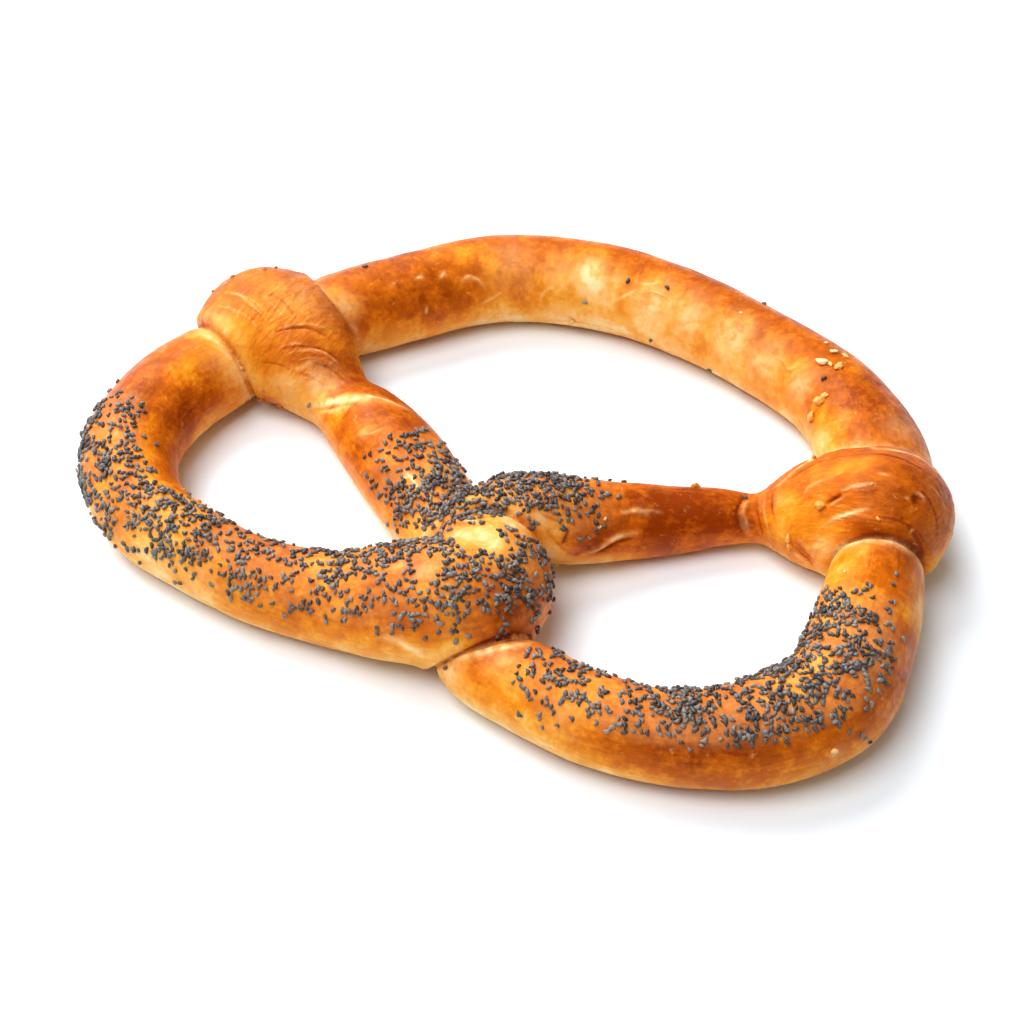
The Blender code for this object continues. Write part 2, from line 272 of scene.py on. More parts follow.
SEED_LENGTH = 1.44
SEED_WIDTH = 0.80
SEED_HEIGHT = 0.74
SEED_BENDS = (0.10, 0.35, 0.60)
SEED_FAT_END = 0.10  # how much thicker one end is than the middle
SEED_UNEVEN = 0.05
SEED_SIDES = 8
SEED_BANDS = 5
SEED_COVER = 1.12  # seeds to the square millimetre where they lie thickest
SEED_CLOSEST = 0.68
SEED_STANDS = 0.2
SEED_TILT = math.radians(20.0)
SEED_SIZES = (0.76, 1.18)
LOOSE_STANDS = 0.6  # height of the few seeds that lie on others
LOOSE_COVER = 0.5
LOOSE_CLOSEST = 0.8
PILED = (0.8, 1.1)  # how thickly a place is sprinkled before seeds lie on others there

# Fixed seeds of the random draws
SEED_DRAW = 5
LOOSE_DRAW = 9
STRAY_DRAW = 21
CRUMB_DRAW = 33

# Wrinkles, folds and slits, laid by the photograph's pixels: the depth is that of a groove,
# and a ridge has a depth below nothing.
Wrinkle = namedtuple("Wrinkle", "name width depth pixels")

WRINKLES = [
    Wrinkle("left knot first arc", 0.7, -0.14, ((217, 307), (232, 309), (246, 316), (256, 326))),
    Wrinkle("left knot second arc", 0.7, -0.16, ((226, 293), (246, 297), (262, 308), (274, 322))),
    Wrinkle("left knot third arc", 0.6, -0.12, ((257, 294), (270, 299), (282, 308))),
    Wrinkle("left knot top arc", 0.6, -0.12, ((272, 288), (288, 292), (299, 303))),
    Wrinkle("left knot fifth arc", 0.6, 0.14, ((269, 294), (285, 303), (295, 318))),
    Wrinkle("left knot sixth arc", 0.5, 0.12, ((243, 303), (256, 311), (266, 324))),
    Wrinkle("left knot fan", 0.5, -0.12, ((277, 348), (295, 344), (316, 347))),
    Wrinkle("left knot fan two", 0.5, -0.12, ((284, 355), (303, 351), (322, 354))),
    Wrinkle("left knot fan three", 0.5, -0.12, ((292, 362), (310, 358), (330, 362), (342, 370))),
    Wrinkle("left knot fan four", 0.5, 0.14, ((262, 362), (280, 365), (296, 374))),
    Wrinkle("left knot fold", 0.7, 0.5, ((277, 332), (292, 328), (308, 328), (322, 333), (334, 342))),
    Wrinkle("left knot fold lip", 0.7, -0.12, ((279, 329), (297, 325), (314, 325), (331, 331))),
    Wrinkle("left knot low fold", 0.6, 0.22, ((286, 349), (304, 346), (324, 350), (340, 360))),
    Wrinkle("left neck streak", 0.7, 0.2, ((296, 372), (312, 378), (326, 388))),
    Wrinkle("left neck streak two", 0.7, 0.16, ((312, 362), (330, 368), (348, 380))),
    Wrinkle("stretch mark", 1.9, -0.4, ((312, 404), (330, 399), (350, 396), (372, 399), (404, 408))),
    Wrinkle("stretch mark edge", 0.9, 0.3, ((310, 411), (330, 408), (346, 402))),
    Wrinkle("arm crease", 0.8, 0.3, ((344, 418), (352, 406), (366, 400))),
    Wrinkle("arm wave", 0.9, -0.22, ((356, 436), (370, 434), (386, 428))),
    Wrinkle("bulge lip", 0.9, -0.35, ((440, 534), (458, 524), (478, 522), (494, 528), (504, 544))),
    Wrinkle("bulge step", 0.9, 0.45, ((446, 526), (466, 514), (484, 508), (502, 512))),
    Wrinkle("root flap", 0.9, -0.45, ((592, 552), (604, 545), (616, 538), (636, 534))),
    Wrinkle("root flap shade", 0.8, 0.5, ((592, 556), (606, 549), (620, 542), (638, 537))),
    Wrinkle("root fold", 0.9, 0.35, ((548, 530), (556, 542), (566, 552), (574, 556))),
    Wrinkle("root wave", 0.8, -0.3, ((622, 514), (632, 513), (640, 512))),
    Wrinkle("root wave two", 0.8, -0.28, ((644, 511), (654, 512), (662, 513))),
    Wrinkle("right neck ring", 1.2, 0.6, ((746, 494), (741, 502), (738, 512), (741, 524), (745, 538))),
    Wrinkle("right neck lip", 1.1, -0.4, ((754, 500), (746, 504), (744, 512), (746, 522), (750, 534))),
    Wrinkle("right neck fold", 0.6, 0.2, ((758, 494), (757, 508), (760, 524), (764, 538))),
    Wrinkle("right neck fold two", 0.6, -0.14, ((765, 492), (764, 508), (767, 524), (772, 540))),
    Wrinkle("right neck fold three", 0.6, 0.16, ((772, 492), (772, 508), (776, 524))),
    Wrinkle("root slit", 0.7, 0.5, ((569, 529), (566, 538), (561, 548))),
    Wrinkle("root slit two", 0.7, 0.35, ((540, 514), (550, 518), (561, 523))),
    Wrinkle("arm crack", 0.8, 0.3, ((404, 470), (412, 478), (416, 486), (421, 496))),
    Wrinkle("right knot slit", 0.6, 1.1, ((826, 504), (833, 499), (841, 495))),
    Wrinkle("right knot slit lip", 0.7, -0.3, ((829, 507), (836, 503), (844, 498))),
    Wrinkle("right knot ridge", 0.75, -0.25, ((820, 529), (832, 521), (846, 516), (864, 511))),
    Wrinkle("right knot upper ridge", 0.9, -0.2, ((803, 497), (808, 489), (818, 483), (832, 478))),
    Wrinkle("right knot seam", 0.6, 0.22, ((843, 494), (854, 488), (866, 486), (878, 485))),
    Wrinkle("right knot brim", 0.9, -0.3, ((780, 486), (802, 466), (830, 453), (860, 448), (890, 448))),
    Wrinkle("right knot brim end", 0.8, -0.25, ((880, 447), (904, 450), (922, 457), (938, 470))),
    Wrinkle("right knot brim fold", 0.7, 0.3, ((792, 477), (807, 468), (832, 458), (860, 454))),
    Wrinkle("right knot brim fold end", 0.7, 0.2, ((852, 454), (880, 454), (902, 459), (920, 468))),
    Wrinkle("right knot side line", 0.5, -0.1, ((920, 480), (935, 490), (945, 507), (947, 530))),
    Wrinkle("right knot side line two", 0.5, 0.12, ((915, 487), (930, 502), (937, 522), (937, 542))),
    Wrinkle("right knot low line", 0.5, 0.12, ((875, 517), (895, 520), (915, 530), (927, 547))),
    Wrinkle("right knot end fold", 0.8, 0.25, ((902, 520), (912, 532), (920, 548), (926, 566))),
    Wrinkle("right knot heel fold", 0.8, 0.4, ((792, 544), (800, 553), (810, 562), (816, 570))),
    Wrinkle("right knot heel line", 0.6, 0.25, ((800, 548), (808, 556), (815, 562))),
    Wrinkle("right knot heel ridge", 0.8, -0.3, ((799, 541), (808, 548), (818, 548), (828, 542))),
    Wrinkle("arc curl", 0.7, -0.3, ((640, 293), (652, 292), (664, 296), (672, 304), (668, 312))),
    Wrinkle("arc curl two", 0.7, -0.25, ((637, 306), (642, 299), (648, 308), (660, 314))),
    Wrinkle("arc squiggle", 0.7, -0.25, ((462, 280), (470, 276), (478, 281), (486, 286))),
    Wrinkle("arc flake edge", 0.9, -0.45, ((778, 358), (784, 362), (790, 370), (798, 366))),
    Wrinkle("arc small fold", 0.8, 0.3, ((566, 318), (572, 320), (578, 324))),
    Wrinkle("loop lip", 1.0, -0.3, ((440, 662), (464, 655), (490, 648), (514, 642), (538, 640))),
    Wrinkle("arc sole", 1.0, 0.1, ((450, 332), (474, 327), (500, 323), (530, 321), (556, 321))),
    Wrinkle("arc sole end", 1.0, 0.1, ((550, 321), (576, 323), (600, 327), (622, 333))),
]

Bump = namedtuple("Bump", "name x y radius height")

BUMPS = [
    Bump("knot pit", 917, 499, 0.8, -1.2),
    Bump("knot pit rim", 921, 496, 1.6, 0.35),
    Bump("left knot shoulder", 314, 294, 6.0, 1.2),
    Bump("left neck side", 348, 376, 5.0, -0.7),
    Bump("right loop shoulder", 838, 584, 6.0, 1.3),
    Bump("neck dent", 741, 525, 0.9, -0.7),
    Bump("left neck crumb dent", 309, 405, 1.1, 0.6),
    Bump("root blister", 640, 507, 1.2, 0.45),
    Bump("root dent", 583, 554, 1.6, -0.7),
    Bump("loop drop", 833, 752, 1.3, 0.6),
    Bump("arm blister", 654, 493, 1.0, 0.35),
    Bump("arc left swell", 700, 300, 9.0, 0.4),
    Bump("arc hollow", 590, 300, 8.0, -0.4),
    Bump("bulge hollow", 512, 560, 5.0, -0.4),
]

# Places where the crust is darker or paler than its height alone would give: mostly its baking, with
# painted shade and painted highlights at the rows marked so
TonePatch = namedtuple("TonePatch", "name x y radius change")

TONE_PATCHES = [
    TonePatch("arc left end", 345, 285, 8, 0.06),
    TonePatch("arc left", 400, 268, 9, 0.05),
    # these rows make the arc's far upper rim darker
    TonePatch("arc back left", 345, 270, 5, 0.34),
    TonePatch("arc back", 400, 252, 5, 0.22),
    TonePatch("arc back middle", 470, 240, 5, 0.14),
    TonePatch("arc back right", 640, 246, 6, 0.16),
    TonePatch("arc back far", 730, 276, 6, 0.16),
    TonePatch("arc back end", 800, 318, 6, 0.18),
    TonePatch("arc back low", 872, 376, 5, 0.16),
    TonePatch("left knot top", 280, 272, 5, 0.12),
    TonePatch("left loop back", 140, 360, 6, 0.12),
    TonePatch("arc deep", 432, 292, 8, 0.20),
    TonePatch("arc deep low", 455, 303, 6, 0.10),
    TonePatch("arc gold", 525, 268, 10, -0.10),
    TonePatch("arc gold low", 520, 300, 8, 0.05),
    # painted highlight on the top of the arc
    TonePatch("arc pale", 592, 286, 7, -0.30),
    TonePatch("arc pale edge", 545, 322, 7, -0.12),
    TonePatch("arc tan", 655, 308, 9, -0.26),
    TonePatch("arc tan far", 712, 338, 9, -0.20),
    TonePatch("arc top", 690, 284, 8, 0.20),
    TonePatch("arc top middle", 736, 304, 6, 0.14),
    # painted light on the arc beside the left knot, where the knot's shadow falls
    TonePatch("beside left knot", 350, 304, 5, -0.16),
    TonePatch("arc spot", 705, 346, 5, 0.14),
    TonePatch("arc far tan", 775, 372, 8, -0.14),
    TonePatch("arc far top", 775, 324, 9, 0.22),
    TonePatch("arc right deep", 860, 404, 9, 0.38),
    TonePatch("arc right brown", 908, 424, 8, 0.28),
    TonePatch("arc right gold", 832, 432, 7, -0.22),
    TonePatch("left knot crown", 285, 288, 8, 0.02),
    TonePatch("left knot tan", 262, 322, 8, -0.08),
    TonePatch("left knot right", 334, 318, 7, 0.08),
    TonePatch("left knot low", 300, 350, 7, 0.06),
    TonePatch("left knot gold", 270, 380, 7, -0.16),
    TonePatch("left neck low", 300, 398, 6, -0.22),
    TonePatch("left collar", 206, 334, 3.5, -0.15),
    TonePatch("left collar low", 238, 366, 3.5, -0.15),
    # painted shadow under the left knot
    TonePatch("left knot underside", 268, 400, 3.0, 0.45),
    TonePatch("left loop gold", 204, 350, 7, -0.12),
    # painted highlight on the lit left side of the left knot
    TonePatch("left knot side gold", 226, 334, 4, -0.24),
    TonePatch("left loop back top", 162, 348, 7, 0.22),
    TonePatch("left loop brown", 128, 396, 7, 0.30),
    TonePatch("left loop orange", 165, 385, 6, 0.06),
    TonePatch("left loop deep", 190, 410, 5, 0.20),
    TonePatch("left loop inner", 182, 440, 6, 0.16),
    TonePatch("left loop pale", 156, 545, 9, -0.26),
    TonePatch("left loop low", 280, 606, 9, 0.04),
    TonePatch("left loop inner low", 270, 545, 7, 0.14),
    TonePatch("left front pale", 400, 640, 10, -0.06),
    TonePatch("arm stretch", 345, 402, 3.6, -0.14),
    TonePatch("arm stretch start", 322, 405, 2.6, -0.14),
    TonePatch("arm stretch end", 372, 399, 2.8, -0.10),
    TonePatch("arm top", 391, 392, 6, 0.26),
    TonePatch("arm brown", 402, 424, 7, 0.32),
    TonePatch("arm gold", 335, 440, 8, -0.10),
    TonePatch("arm low gold", 414, 532, 7, -0.24),
    TonePatch("arm upper brown", 356, 376, 4.5, 0.34),
    TonePatch("arm upper brown low", 374, 386, 4, 0.22),
    TonePatch("bulge bare", 476, 536, 6.0, -0.30),
    TonePatch("bulge pale", 450, 590, 9, -0.06),
    TonePatch("bulge deep", 510, 618, 8, 0.42),
    TonePatch("bulge deep low", 480, 628, 5, 0.26),
    TonePatch("bulge foot", 408, 632, 8, 0.12),
    TonePatch("root pale", 556, 534, 6, -0.30),
    TonePatch("root back", 514, 510, 3.5, -0.25),
    TonePatch("root deep", 606, 542, 5, 0.30),
    TonePatch("root deep top", 592, 522, 5, 0.22),
    TonePatch("right arm deep", 700, 524, 9, 0.44),
    TonePatch("right arm mid", 650, 522, 8, 0.36),
    TonePatch("right arm top", 680, 494, 10, 0.20),
    TonePatch("right arm low", 660, 550, 8, 0.02),
    TonePatch("right neck", 752, 512, 5, 0.10),
    TonePatch("right neck gold", 772, 520, 6, -0.16),
    TonePatch("right knot gold", 800, 522, 7, -0.16),
    TonePatch("right knot top gold", 850, 462, 5, -0.14),
    TonePatch("right knot back", 900, 462, 6, 0.16),
    TonePatch("right knot tan", 838, 486, 9, 0.06),
    TonePatch("right knot front", 862, 520, 6, 0.14),
    TonePatch("right knot deep", 890, 525, 8, 0.16),
    TonePatch("right knot deep top", 905, 490, 9, 0.14),
    TonePatch("right knot end", 938, 530, 8, 0.16),
    # painted shade at the right knot's heel
    TonePatch("right heel", 788, 552, 5, 0.16),
    # painted shade in the pits and slits
    TonePatch("knot pit", 917, 499, 0.9, 0.9),
    TonePatch("knot slit", 838, 497, 0.8, 0.3),
    TonePatch("root slit", 566, 539, 1.0, 0.5),
    TonePatch("root pits", 589, 550, 1.2, 0.5),
    TonePatch("root pit", 597, 546, 0.6, 0.7),
    TonePatch("root pit low", 578, 555, 0.8, 0.6),
    TonePatch("right collar", 868, 540, 5, -0.30),
    TonePatch("right loop gold", 836, 566, 7, -0.26),
    TonePatch("right loop brown", 894, 562, 6, 0.22),
    # painted sheen along the right loop's outer edge
    TonePatch("right loop edge", 912, 610, 7, -0.10),
    TonePatch("right loop deep", 740, 768, 10, 0.34),
    TonePatch("right loop deep left", 684, 746, 8, 0.42),
    TonePatch("right loop deep middle", 732, 722, 6, 0.16),
    TonePatch("right loop side deep", 876, 674, 5, 0.22),
    TonePatch("right loop corner", 860, 740, 8, 0.06),
    TonePatch("right loop side", 905, 680, 9, 0.20),
    TonePatch("right neck foot", 752, 534, 5, 0.25),
    TonePatch("right arm foot", 710, 540, 6, 0.15),
    TonePatch("right knot heel foot", 830, 575, 4, 0.2),
    TonePatch("left loop deep face", 188, 426, 5, 0.14),
    TonePatch("right loop front", 620, 728, 8, 0.08),
    TonePatch("right loop start", 470, 668, 7, -0.20),
    TonePatch("right loop spot", 486, 676, 4, 0.16),
    TonePatch("right loop low", 550, 716, 8, -0.10),
    TonePatch("right loop crease", 536, 654, 4, -0.20),
    TonePatch("arc right low gold", 822, 408, 4, -0.26),
    TonePatch("arc left top", 348, 284, 5, 0.12),
]

# Pale patches: dough that shows through uncoloured, with painted highlights and sheen at the rows
# marked so
PalePatch = namedtuple("PalePatch", "name x y radius share")

PALE_PATCHES = [
    # painted highlight on the top of the arc
    PalePatch("arc highlight", 590, 276, 3.6, 0.95),
    PalePatch("arc highlight middle", 594, 288, 3.2, 0.80),
    PalePatch("arc highlight low", 604, 298, 2.6, 0.50),
    PalePatch("arc highlight right", 612, 282, 2.4, 0.45),
    PalePatch("arc start top", 325, 284, 4.0, -0.95),
    PalePatch("arc start foot", 352, 340, 4.0, -0.80),
    PalePatch("arc tan", 560, 318, 3.0, 0.45),
    PalePatch("arc low edge", 520, 320, 3.0, 0.45),
    PalePatch("arc low edge left", 480, 324, 3.0, 0.40),
    PalePatch("arc low edge right", 600, 328, 3.5, 0.50),
    PalePatch("arc gold top", 514, 264, 5.5, 0.30),
    PalePatch("arc gold middle", 560, 270, 4.0, 0.35),
    PalePatch("arc tan middle", 652, 308, 5.0, 0.65),
    PalePatch("arc tan right", 688, 318, 4.5, 0.65),
    PalePatch("arc tan far", 732, 340, 5.0, 0.65),
    PalePatch("arc tan end", 762, 362, 4.5, 0.60),
    PalePatch("arc tan last", 800, 386, 3.5, 0.55),
    PalePatch("arc foot middle", 670, 346, 3.5, 0.40),
    # painted light on the arc beside the left knot, where the knot's shadow falls
    PalePatch("beside left knot", 344, 306, 3.0, 0.55),
    PalePatch("left knot skin", 300, 296, 8.0, 0.24),
    # painted highlight on the lit left side of the left knot
    PalePatch("left knot side", 215, 320, 3.5, 0.40),
    PalePatch("left neck low", 285, 386, 3.2, 0.50),
    PalePatch("left neck", 320, 384, 3.4, 0.65),
    PalePatch("left loop top", 222, 360, 3.5, 0.25),
    PalePatch("left loop flap", 234, 374, 3.0, 0.45),
    PalePatch("bulge foot", 420, 636, 6.0, -0.8),
    PalePatch("bulge deep", 500, 620, 7.0, -0.9),
    PalePatch("left loop outer foot", 156, 552, 5.0, 0.35),
    PalePatch("left loop outer foot low", 200, 584, 5.0, 0.30),
    PalePatch("arm wave", 362, 433, 1.2, 0.45),
    PalePatch("bulge bare", 460, 536, 2.6, 0.85),
    PalePatch("bulge bare middle", 477, 536, 3.0, 0.90),
    PalePatch("bulge bare end", 493, 543, 2.4, 0.80),
    PalePatch("bulge back", 516, 525, 3.2, 0.80),
    PalePatch("root pale", 540, 520, 2.4, 0.55),
    PalePatch("root pale low", 556, 556, 3.0, 0.50),
    PalePatch("root pale end", 585, 563, 2.6, 0.35),
    PalePatch("front loop middle", 424, 570, 2.6, 0.45),
    PalePatch("front loop side", 398, 566, 1.8, 0.45),
    PalePatch("arc right low", 822, 440, 2.6, 0.40),
    PalePatch("arc right end", 903, 428, 4.0, 0.30),
    PalePatch("right knot side", 778, 500, 1.4, 0.30),
    PalePatch("right loop top", 830, 552, 3.0, 0.35),
    # painted sheen along the right loop's outer edge
    PalePatch("right loop side", 922, 614, 4.0, 0.65),
    PalePatch("right loop start", 448, 672, 3.6, 0.60),
    PalePatch("right loop start end", 500, 662, 3.0, 0.35),
    PalePatch("right loop front", 562, 716, 4.0, 0.25),
    PalePatch("right loop foot", 850, 758, 6.0, -0.90),
    PalePatch("right loop drop", 833, 752, 1.0, 0.60),
]

# Thin pale lines: uncoloured dough, with a painted highlight where marked so
Streak = namedtuple("Streak", "name width share pixels")

STREAKS = [
    Streak("arm stretch", 2.2, 1.0, ((308, 408), (326, 403), (346, 400), (362, 399), (376, 400))),
    Streak("arm stretch tail", 1.3, 1.0, ((352, 398), (374, 398), (390, 402), (406, 409))),
    Streak("arm stretch low", 1.2, 0.7, ((318, 412), (336, 410), (352, 405))),
    Streak("left collar", 1.8, 0.8, ((193, 328), (206, 334), (220, 342), (232, 354))),
    Streak("left collar low", 1.8, 0.6, ((230, 351), (239, 364), (245, 377), (248, 390))),
    # painted highlight on the left neck
    Streak("left neck shine", 1.4, 0.6, ((294, 373), (304, 366), (316, 361))),
    Streak("left neck band", 1.8, 0.5, ((286, 392), (300, 381), (316, 373))),
    Streak("arm crack", 1.3, 1.0, ((403, 469), (409, 475), (415, 483), (420, 494))),
    Streak("arm crack branch", 0.9, 0.9, ((409, 475), (404, 478), (400, 476))),
    Streak("bulge upper edge", 1.2, 0.8, ((446, 528), (460, 522), (474, 522), (488, 528))),
    Streak("under strand lip", 2.0, 0.9, ((446, 662), (466, 656), (490, 650), (514, 646), (536, 641))),
    Streak("bulge foot", 2.2, 0.7, ((380, 634), (404, 645), (424, 654), (438, 656))),
    Streak("right crease", 1.5, 1.0, ((828, 562), (834, 551), (846, 544), (864, 540), (882, 539))),
    Streak("right crease end", 1.4, 1.0, ((876, 539), (894, 541), (908, 548), (918, 559))),
    Streak("right crease side", 1.2, 0.8, ((915, 556), (922, 566), (925, 580))),
    Streak("right lip", 1.0, 0.6, ((812, 556), (816, 546), (826, 537))),
    Streak("right ridge", 1.2, 0.8, ((826, 526), (837, 518), (852, 513), (868, 509))),
    Streak("right seam", 0.8, 0.7, ((843, 491), (852, 487), (862, 485), (874, 484))),
    Streak("right brim", 1.4, 0.9, ((778, 485), (802, 466), (830, 453), (860, 449), (888, 449))),
    Streak("right brim end", 1.3, 0.9, ((880, 449), (904, 452), (922, 459), (936, 470))),
    Streak("right neck", 1.2, 0.25, ((743, 506), (742, 518), (747, 536))),
    Streak("right scratch", 0.7, 0.6, ((878, 473), (888, 475))),
    Streak("right scratch two", 0.6, 0.5, ((905, 497), (909, 499))),
    Streak("right scratch three", 0.6, 0.6, ((909, 532), (913, 529))),
    Streak("right pit rim", 0.6, 0.5, ((914, 493), (919, 494), (923, 498), (924, 503))),
    Streak("right heel", 1.4, 0.6, ((792, 552), (802, 560), (812, 568))),
    Streak("root ridge", 1.3, 0.8, ((586, 556), (604, 546), (616, 538), (636, 534))),
    Streak("root top", 1.6, 0.6, ((505, 516), (518, 512), (532, 512))),
    Streak("arm top wave", 1.2, 0.6, ((622, 512), (636, 511), (652, 512))),
    Streak("arc squiggle", 0.9, 0.8, ((462, 281), (468, 277), (476, 279), (484, 286))),
    Streak("arc squiggle two", 0.8, 0.6, ((482, 303), (492, 298), (502, 292))),
    Streak("arc squiggle three", 0.8, 0.6, ((540, 300), (546, 290), (556, 286))),
    Streak("arc curl", 0.9, 0.7, ((636, 282), (648, 284), (660, 282))),
    Streak("arc curl two", 0.9, 0.7, ((612, 302), (624, 296), (640, 288))),
    Streak("arc left fleck", 0.8, 0.8, ((416, 279), (420, 277), (424, 278))),
    Streak("arc left fleck two", 0.8, 0.8, ((440, 278), (443, 274), (444, 271))),
    Streak("arc left fleck three", 0.8, 0.7, ((392, 285), (395, 282))),
    Streak("arc left fleck four", 0.7, 0.6, ((426, 314), (427, 306))),
    Streak("arc far curl", 0.9, 0.6, ((640, 293), (652, 292), (664, 296), (672, 304))),
    Streak("left knot line", 0.7, 0.7, ((226, 292), (240, 295), (250, 303), (258, 311))),
    Streak("left knot line two", 0.7, 0.6, ((216, 306), (228, 308), (240, 315))),
    Streak("left knot line three", 0.6, 0.5, ((262, 296), (274, 306), (284, 318))),
    Streak("left knot fan", 0.6, 0.5, ((300, 350), (316, 350), (330, 356), (342, 366))),
    Streak("left loop mark", 1.0, 0.5, ((120, 404), (132, 412))),
]

# Places sown more thickly with seeds than their band, or left bare
Sown = namedtuple("Sown", "name x y radius change")

SOWN = [
    Sown("bulge bare", 460, 536, 2.4, -1.1),
    Sown("bulge bare middle", 477, 537, 2.8, -1.2),
    Sown("bulge bare end", 493, 544, 2.2, -1.1),
    Sown("bulge back", 516, 522, 2.8, -1.0),
    Sown("root pale", 540, 522, 2.4, -0.6),
    Sown("bulge low", 520, 626, 4.0, -1.0),
    Sown("bulge low left", 482, 626, 3.5, -0.7),
    Sown("bulge low right", 545, 610, 2.4, -0.7),
    Sown("bulge brow", 486, 511, 2.4, 1.0),
    Sown("bulge brow left", 462, 514, 2.2, 1.0),
    Sown("saddle", 452, 504, 3.5, 1.4),
    Sown("saddle right", 478, 504, 3.5, 1.4),
    Sown("saddle low", 438, 514, 2.6, 1.4),
    Sown("saddle end", 429, 524, 2.0, 0.6),
    Sown("arm foot", 416, 532, 3.0, -0.6),
    Sown("over foot", 540, 502, 3.0, 0.6),
    Sown("groove end", 494, 510, 2.6, 1.0),
    Sown("arm end", 404, 502, 4.0, 0.6),
    Sown("bulge left", 398, 552, 4.0, 0.6),
    Sown("bulge left low", 446, 580, 5.0, 0.5),
    Sown("front loop", 340, 566, 6.0, 0.3),
    Sown("right loop start", 540, 690, 5.0, 0.4),
    Sown("root low", 558, 534, 3.5, -0.7),
    Sown("front loop middle", 424, 570, 2.4, -0.8),
    Sown("front loop side", 398, 566, 1.6, -0.8),
    Sown("arm crack", 408, 474, 0.8, -1.0),
    Sown("arm crack middle", 415, 482, 0.9, -1.0),
    Sown("over top", 545, 484, 6.0, 0.7),
    Sown("over left", 505, 490, 5.0, 0.7),
    Sown("over end", 462, 506, 4.0, 0.6),
    Sown("arm low", 446, 478, 4.0, 0.8),
    Sown("left loop low band", 160, 508, 5.0, 0.5),
    Sown("left loop low middle", 190, 536, 6.0, 0.5),
    Sown("right loop low right", 784, 708, 5.0, 0.5),
    Sown("right loop foot", 812, 768, 4.0, -0.8),
    Sown("right loop middle", 830, 672, 5.0, 0.4),
    Sown("right loop inner", 828, 626, 4.0, 0.5),
    Sown("bulge crown", 524, 548, 4.0, 0.6),
    Sown("bulge edge", 440, 528, 4.0, 0.5),
    Sown("bulge right", 510, 590, 5.0, 0.5),
    Sown("right loop top", 850, 610, 4.0, 0.5),
    Sown("right loop corner", 850, 700, 6.0, 0.3),
    Sown("right loop low", 700, 705, 6.0, 0.4),
    Sown("left loop side", 100, 450, 6.0, 0.3),
]

CLUMP_EDGES = (-0.28, 0.16)  # noise between the bare crust and the middle of a clump
OPEN_GAPS = (0.2, 1.2)  # gaps to the next strand, in mm, over which a crease opens to seeds
OPEN_FOR_PILES = 2.0  # mm by which thick sowing widens the gap that seeds fall into

# Baking, from 0 for raw dough to 1 for the darkest crust. The foot and the top of the rope come
# first, then lumps and spots, then the contrast of all that about its middle.
BAKE_FOOT = 0.31
BAKE_TOP = 0.64
BAKE_FACING = (-0.5, 0.7)  # how far up the crust faces on its foot and on its top
BAKE_LUMP = 9.0
BAKE_LUMP_CHANGE = 0.20
BAKE_LUMP_DRAWN = (0.6, 1.0, 1.0)  # the lumps are longer along the rope
BAKE_SPOT = 3.6
BAKE_SPOT_CHANGE = 0.10
BAKE_MIDDLE = 0.44
BAKE_CONTRAST = 1.2
BAKE_LIMIT = 0.74  # above this, places are baked less than their patches add up to
BAKE_PAST_LIMIT = 0.4  # share of the baking past the limit that counts
# painted shade: the crust is made darker along the wrinkles' grooves
GROOVE_PAINTED_SHADE = 0.3
# painted shade: the crust is made darker in the creases between strands
CREASE_PAINTED_SHADE = 0.3
CREASE_SHADE_WIDTH = 0.35
SOLE_BAKE = 0.35
SOLE_TOP = 0.4  # mm, height to which the sole reaches
SOLE_FADE = 0.5
SOLE_EDGE = 0.7  # mm by which the edge of the sole is ragged
SOLE_EDGE_LENGTH = 2.2
# the patches of the tone table hold baking, painted shade and painted highlights alike
SMALL_PATCH = 4.0  # mm, the radius below which a baked patch keeps its round edge
WARP = 3.2  # mm by which the edges of the baked patches wander
WARP_LENGTHS = (7.0, 2.6)
FINE_WARP = 0.4  # share of the finer wandering
CREAM_WARP = 0.35  # share of the wandering that the creamy patches' edges have

# Paleness, from 0 for coloured crust to 1 for uncoloured dough
FOOT_PALE = 0.2
FOOT_HEIGHTS = (0.5, 3.0)
RIDGE_PALE = 0.35
SOWN_PALE = 0.18  # between the seeds
COLLARS = ((0.42, 1.0, 0.6), (0.15, 0.0, 2.2))  # bands under a strand: share, place and width

# Relief of the crust, in mm
CREASE_WIDTH = 0.4
CREASE_DEPTH = 0.7
LIP_HEIGHT = 0.55
LIP_PLACE = 1.5
LIP_WIDTH = 1.1
PINCH_DEPTH = 0.5
PINCH_WIDTH = 1.8
LUMP_LENGTH = 6.0
LUMP_HEIGHT = 0.14
GRAIN_HEIGHT = 0.16
GRAIN_LENGTH = 1.3
GRAIN_WIDTH = 0.22  # noise at which a ridge of the grain ends
GRAIN_SUNK = 0.4  # share of the grain's height that lies in the skin
GRAIN_OFF_KNOTS = 0.1  # share of the grain's height that is left away from the knots
GRAIN_ALONG = (0.14, 0.9, 0.9)  # how finely the grain is drawn along, beside and above the rope
GRAIN_ACROSS = (0.75, 0.24, 0.24)  # the same on the left knot, whose skin is gathered across
GRAIN_RING = (0.42, 0.26, 0.26)  # the same on the plain ring
KNOT_SIDE = 9.0  # mm from a neck to where its knot's skin begins
ARM_SIDE = 4.0  # mm from a neck to where its arm's skin begins
LINE_NARROW = 0.46  # how much narrower the wrinkles and streaks are than their tables say
LINE_REACH = 3.0  # widths within which a line is felt
LINE_END = 0.04  # share of a line over which it has ended
LINE_TAPER = 0.6
SAME_SIDE = 0.2  # how far a point faces the way its line does

# Shifts that give each pattern its own part of the noise
LUMP_SHIFT = 40.0
SOLE_SHIFT = 60.0
SPOT_SHIFT = 80.0
CLUMP_SHIFT = 120.0
WARP_SHIFTS = (200, 300, 400)


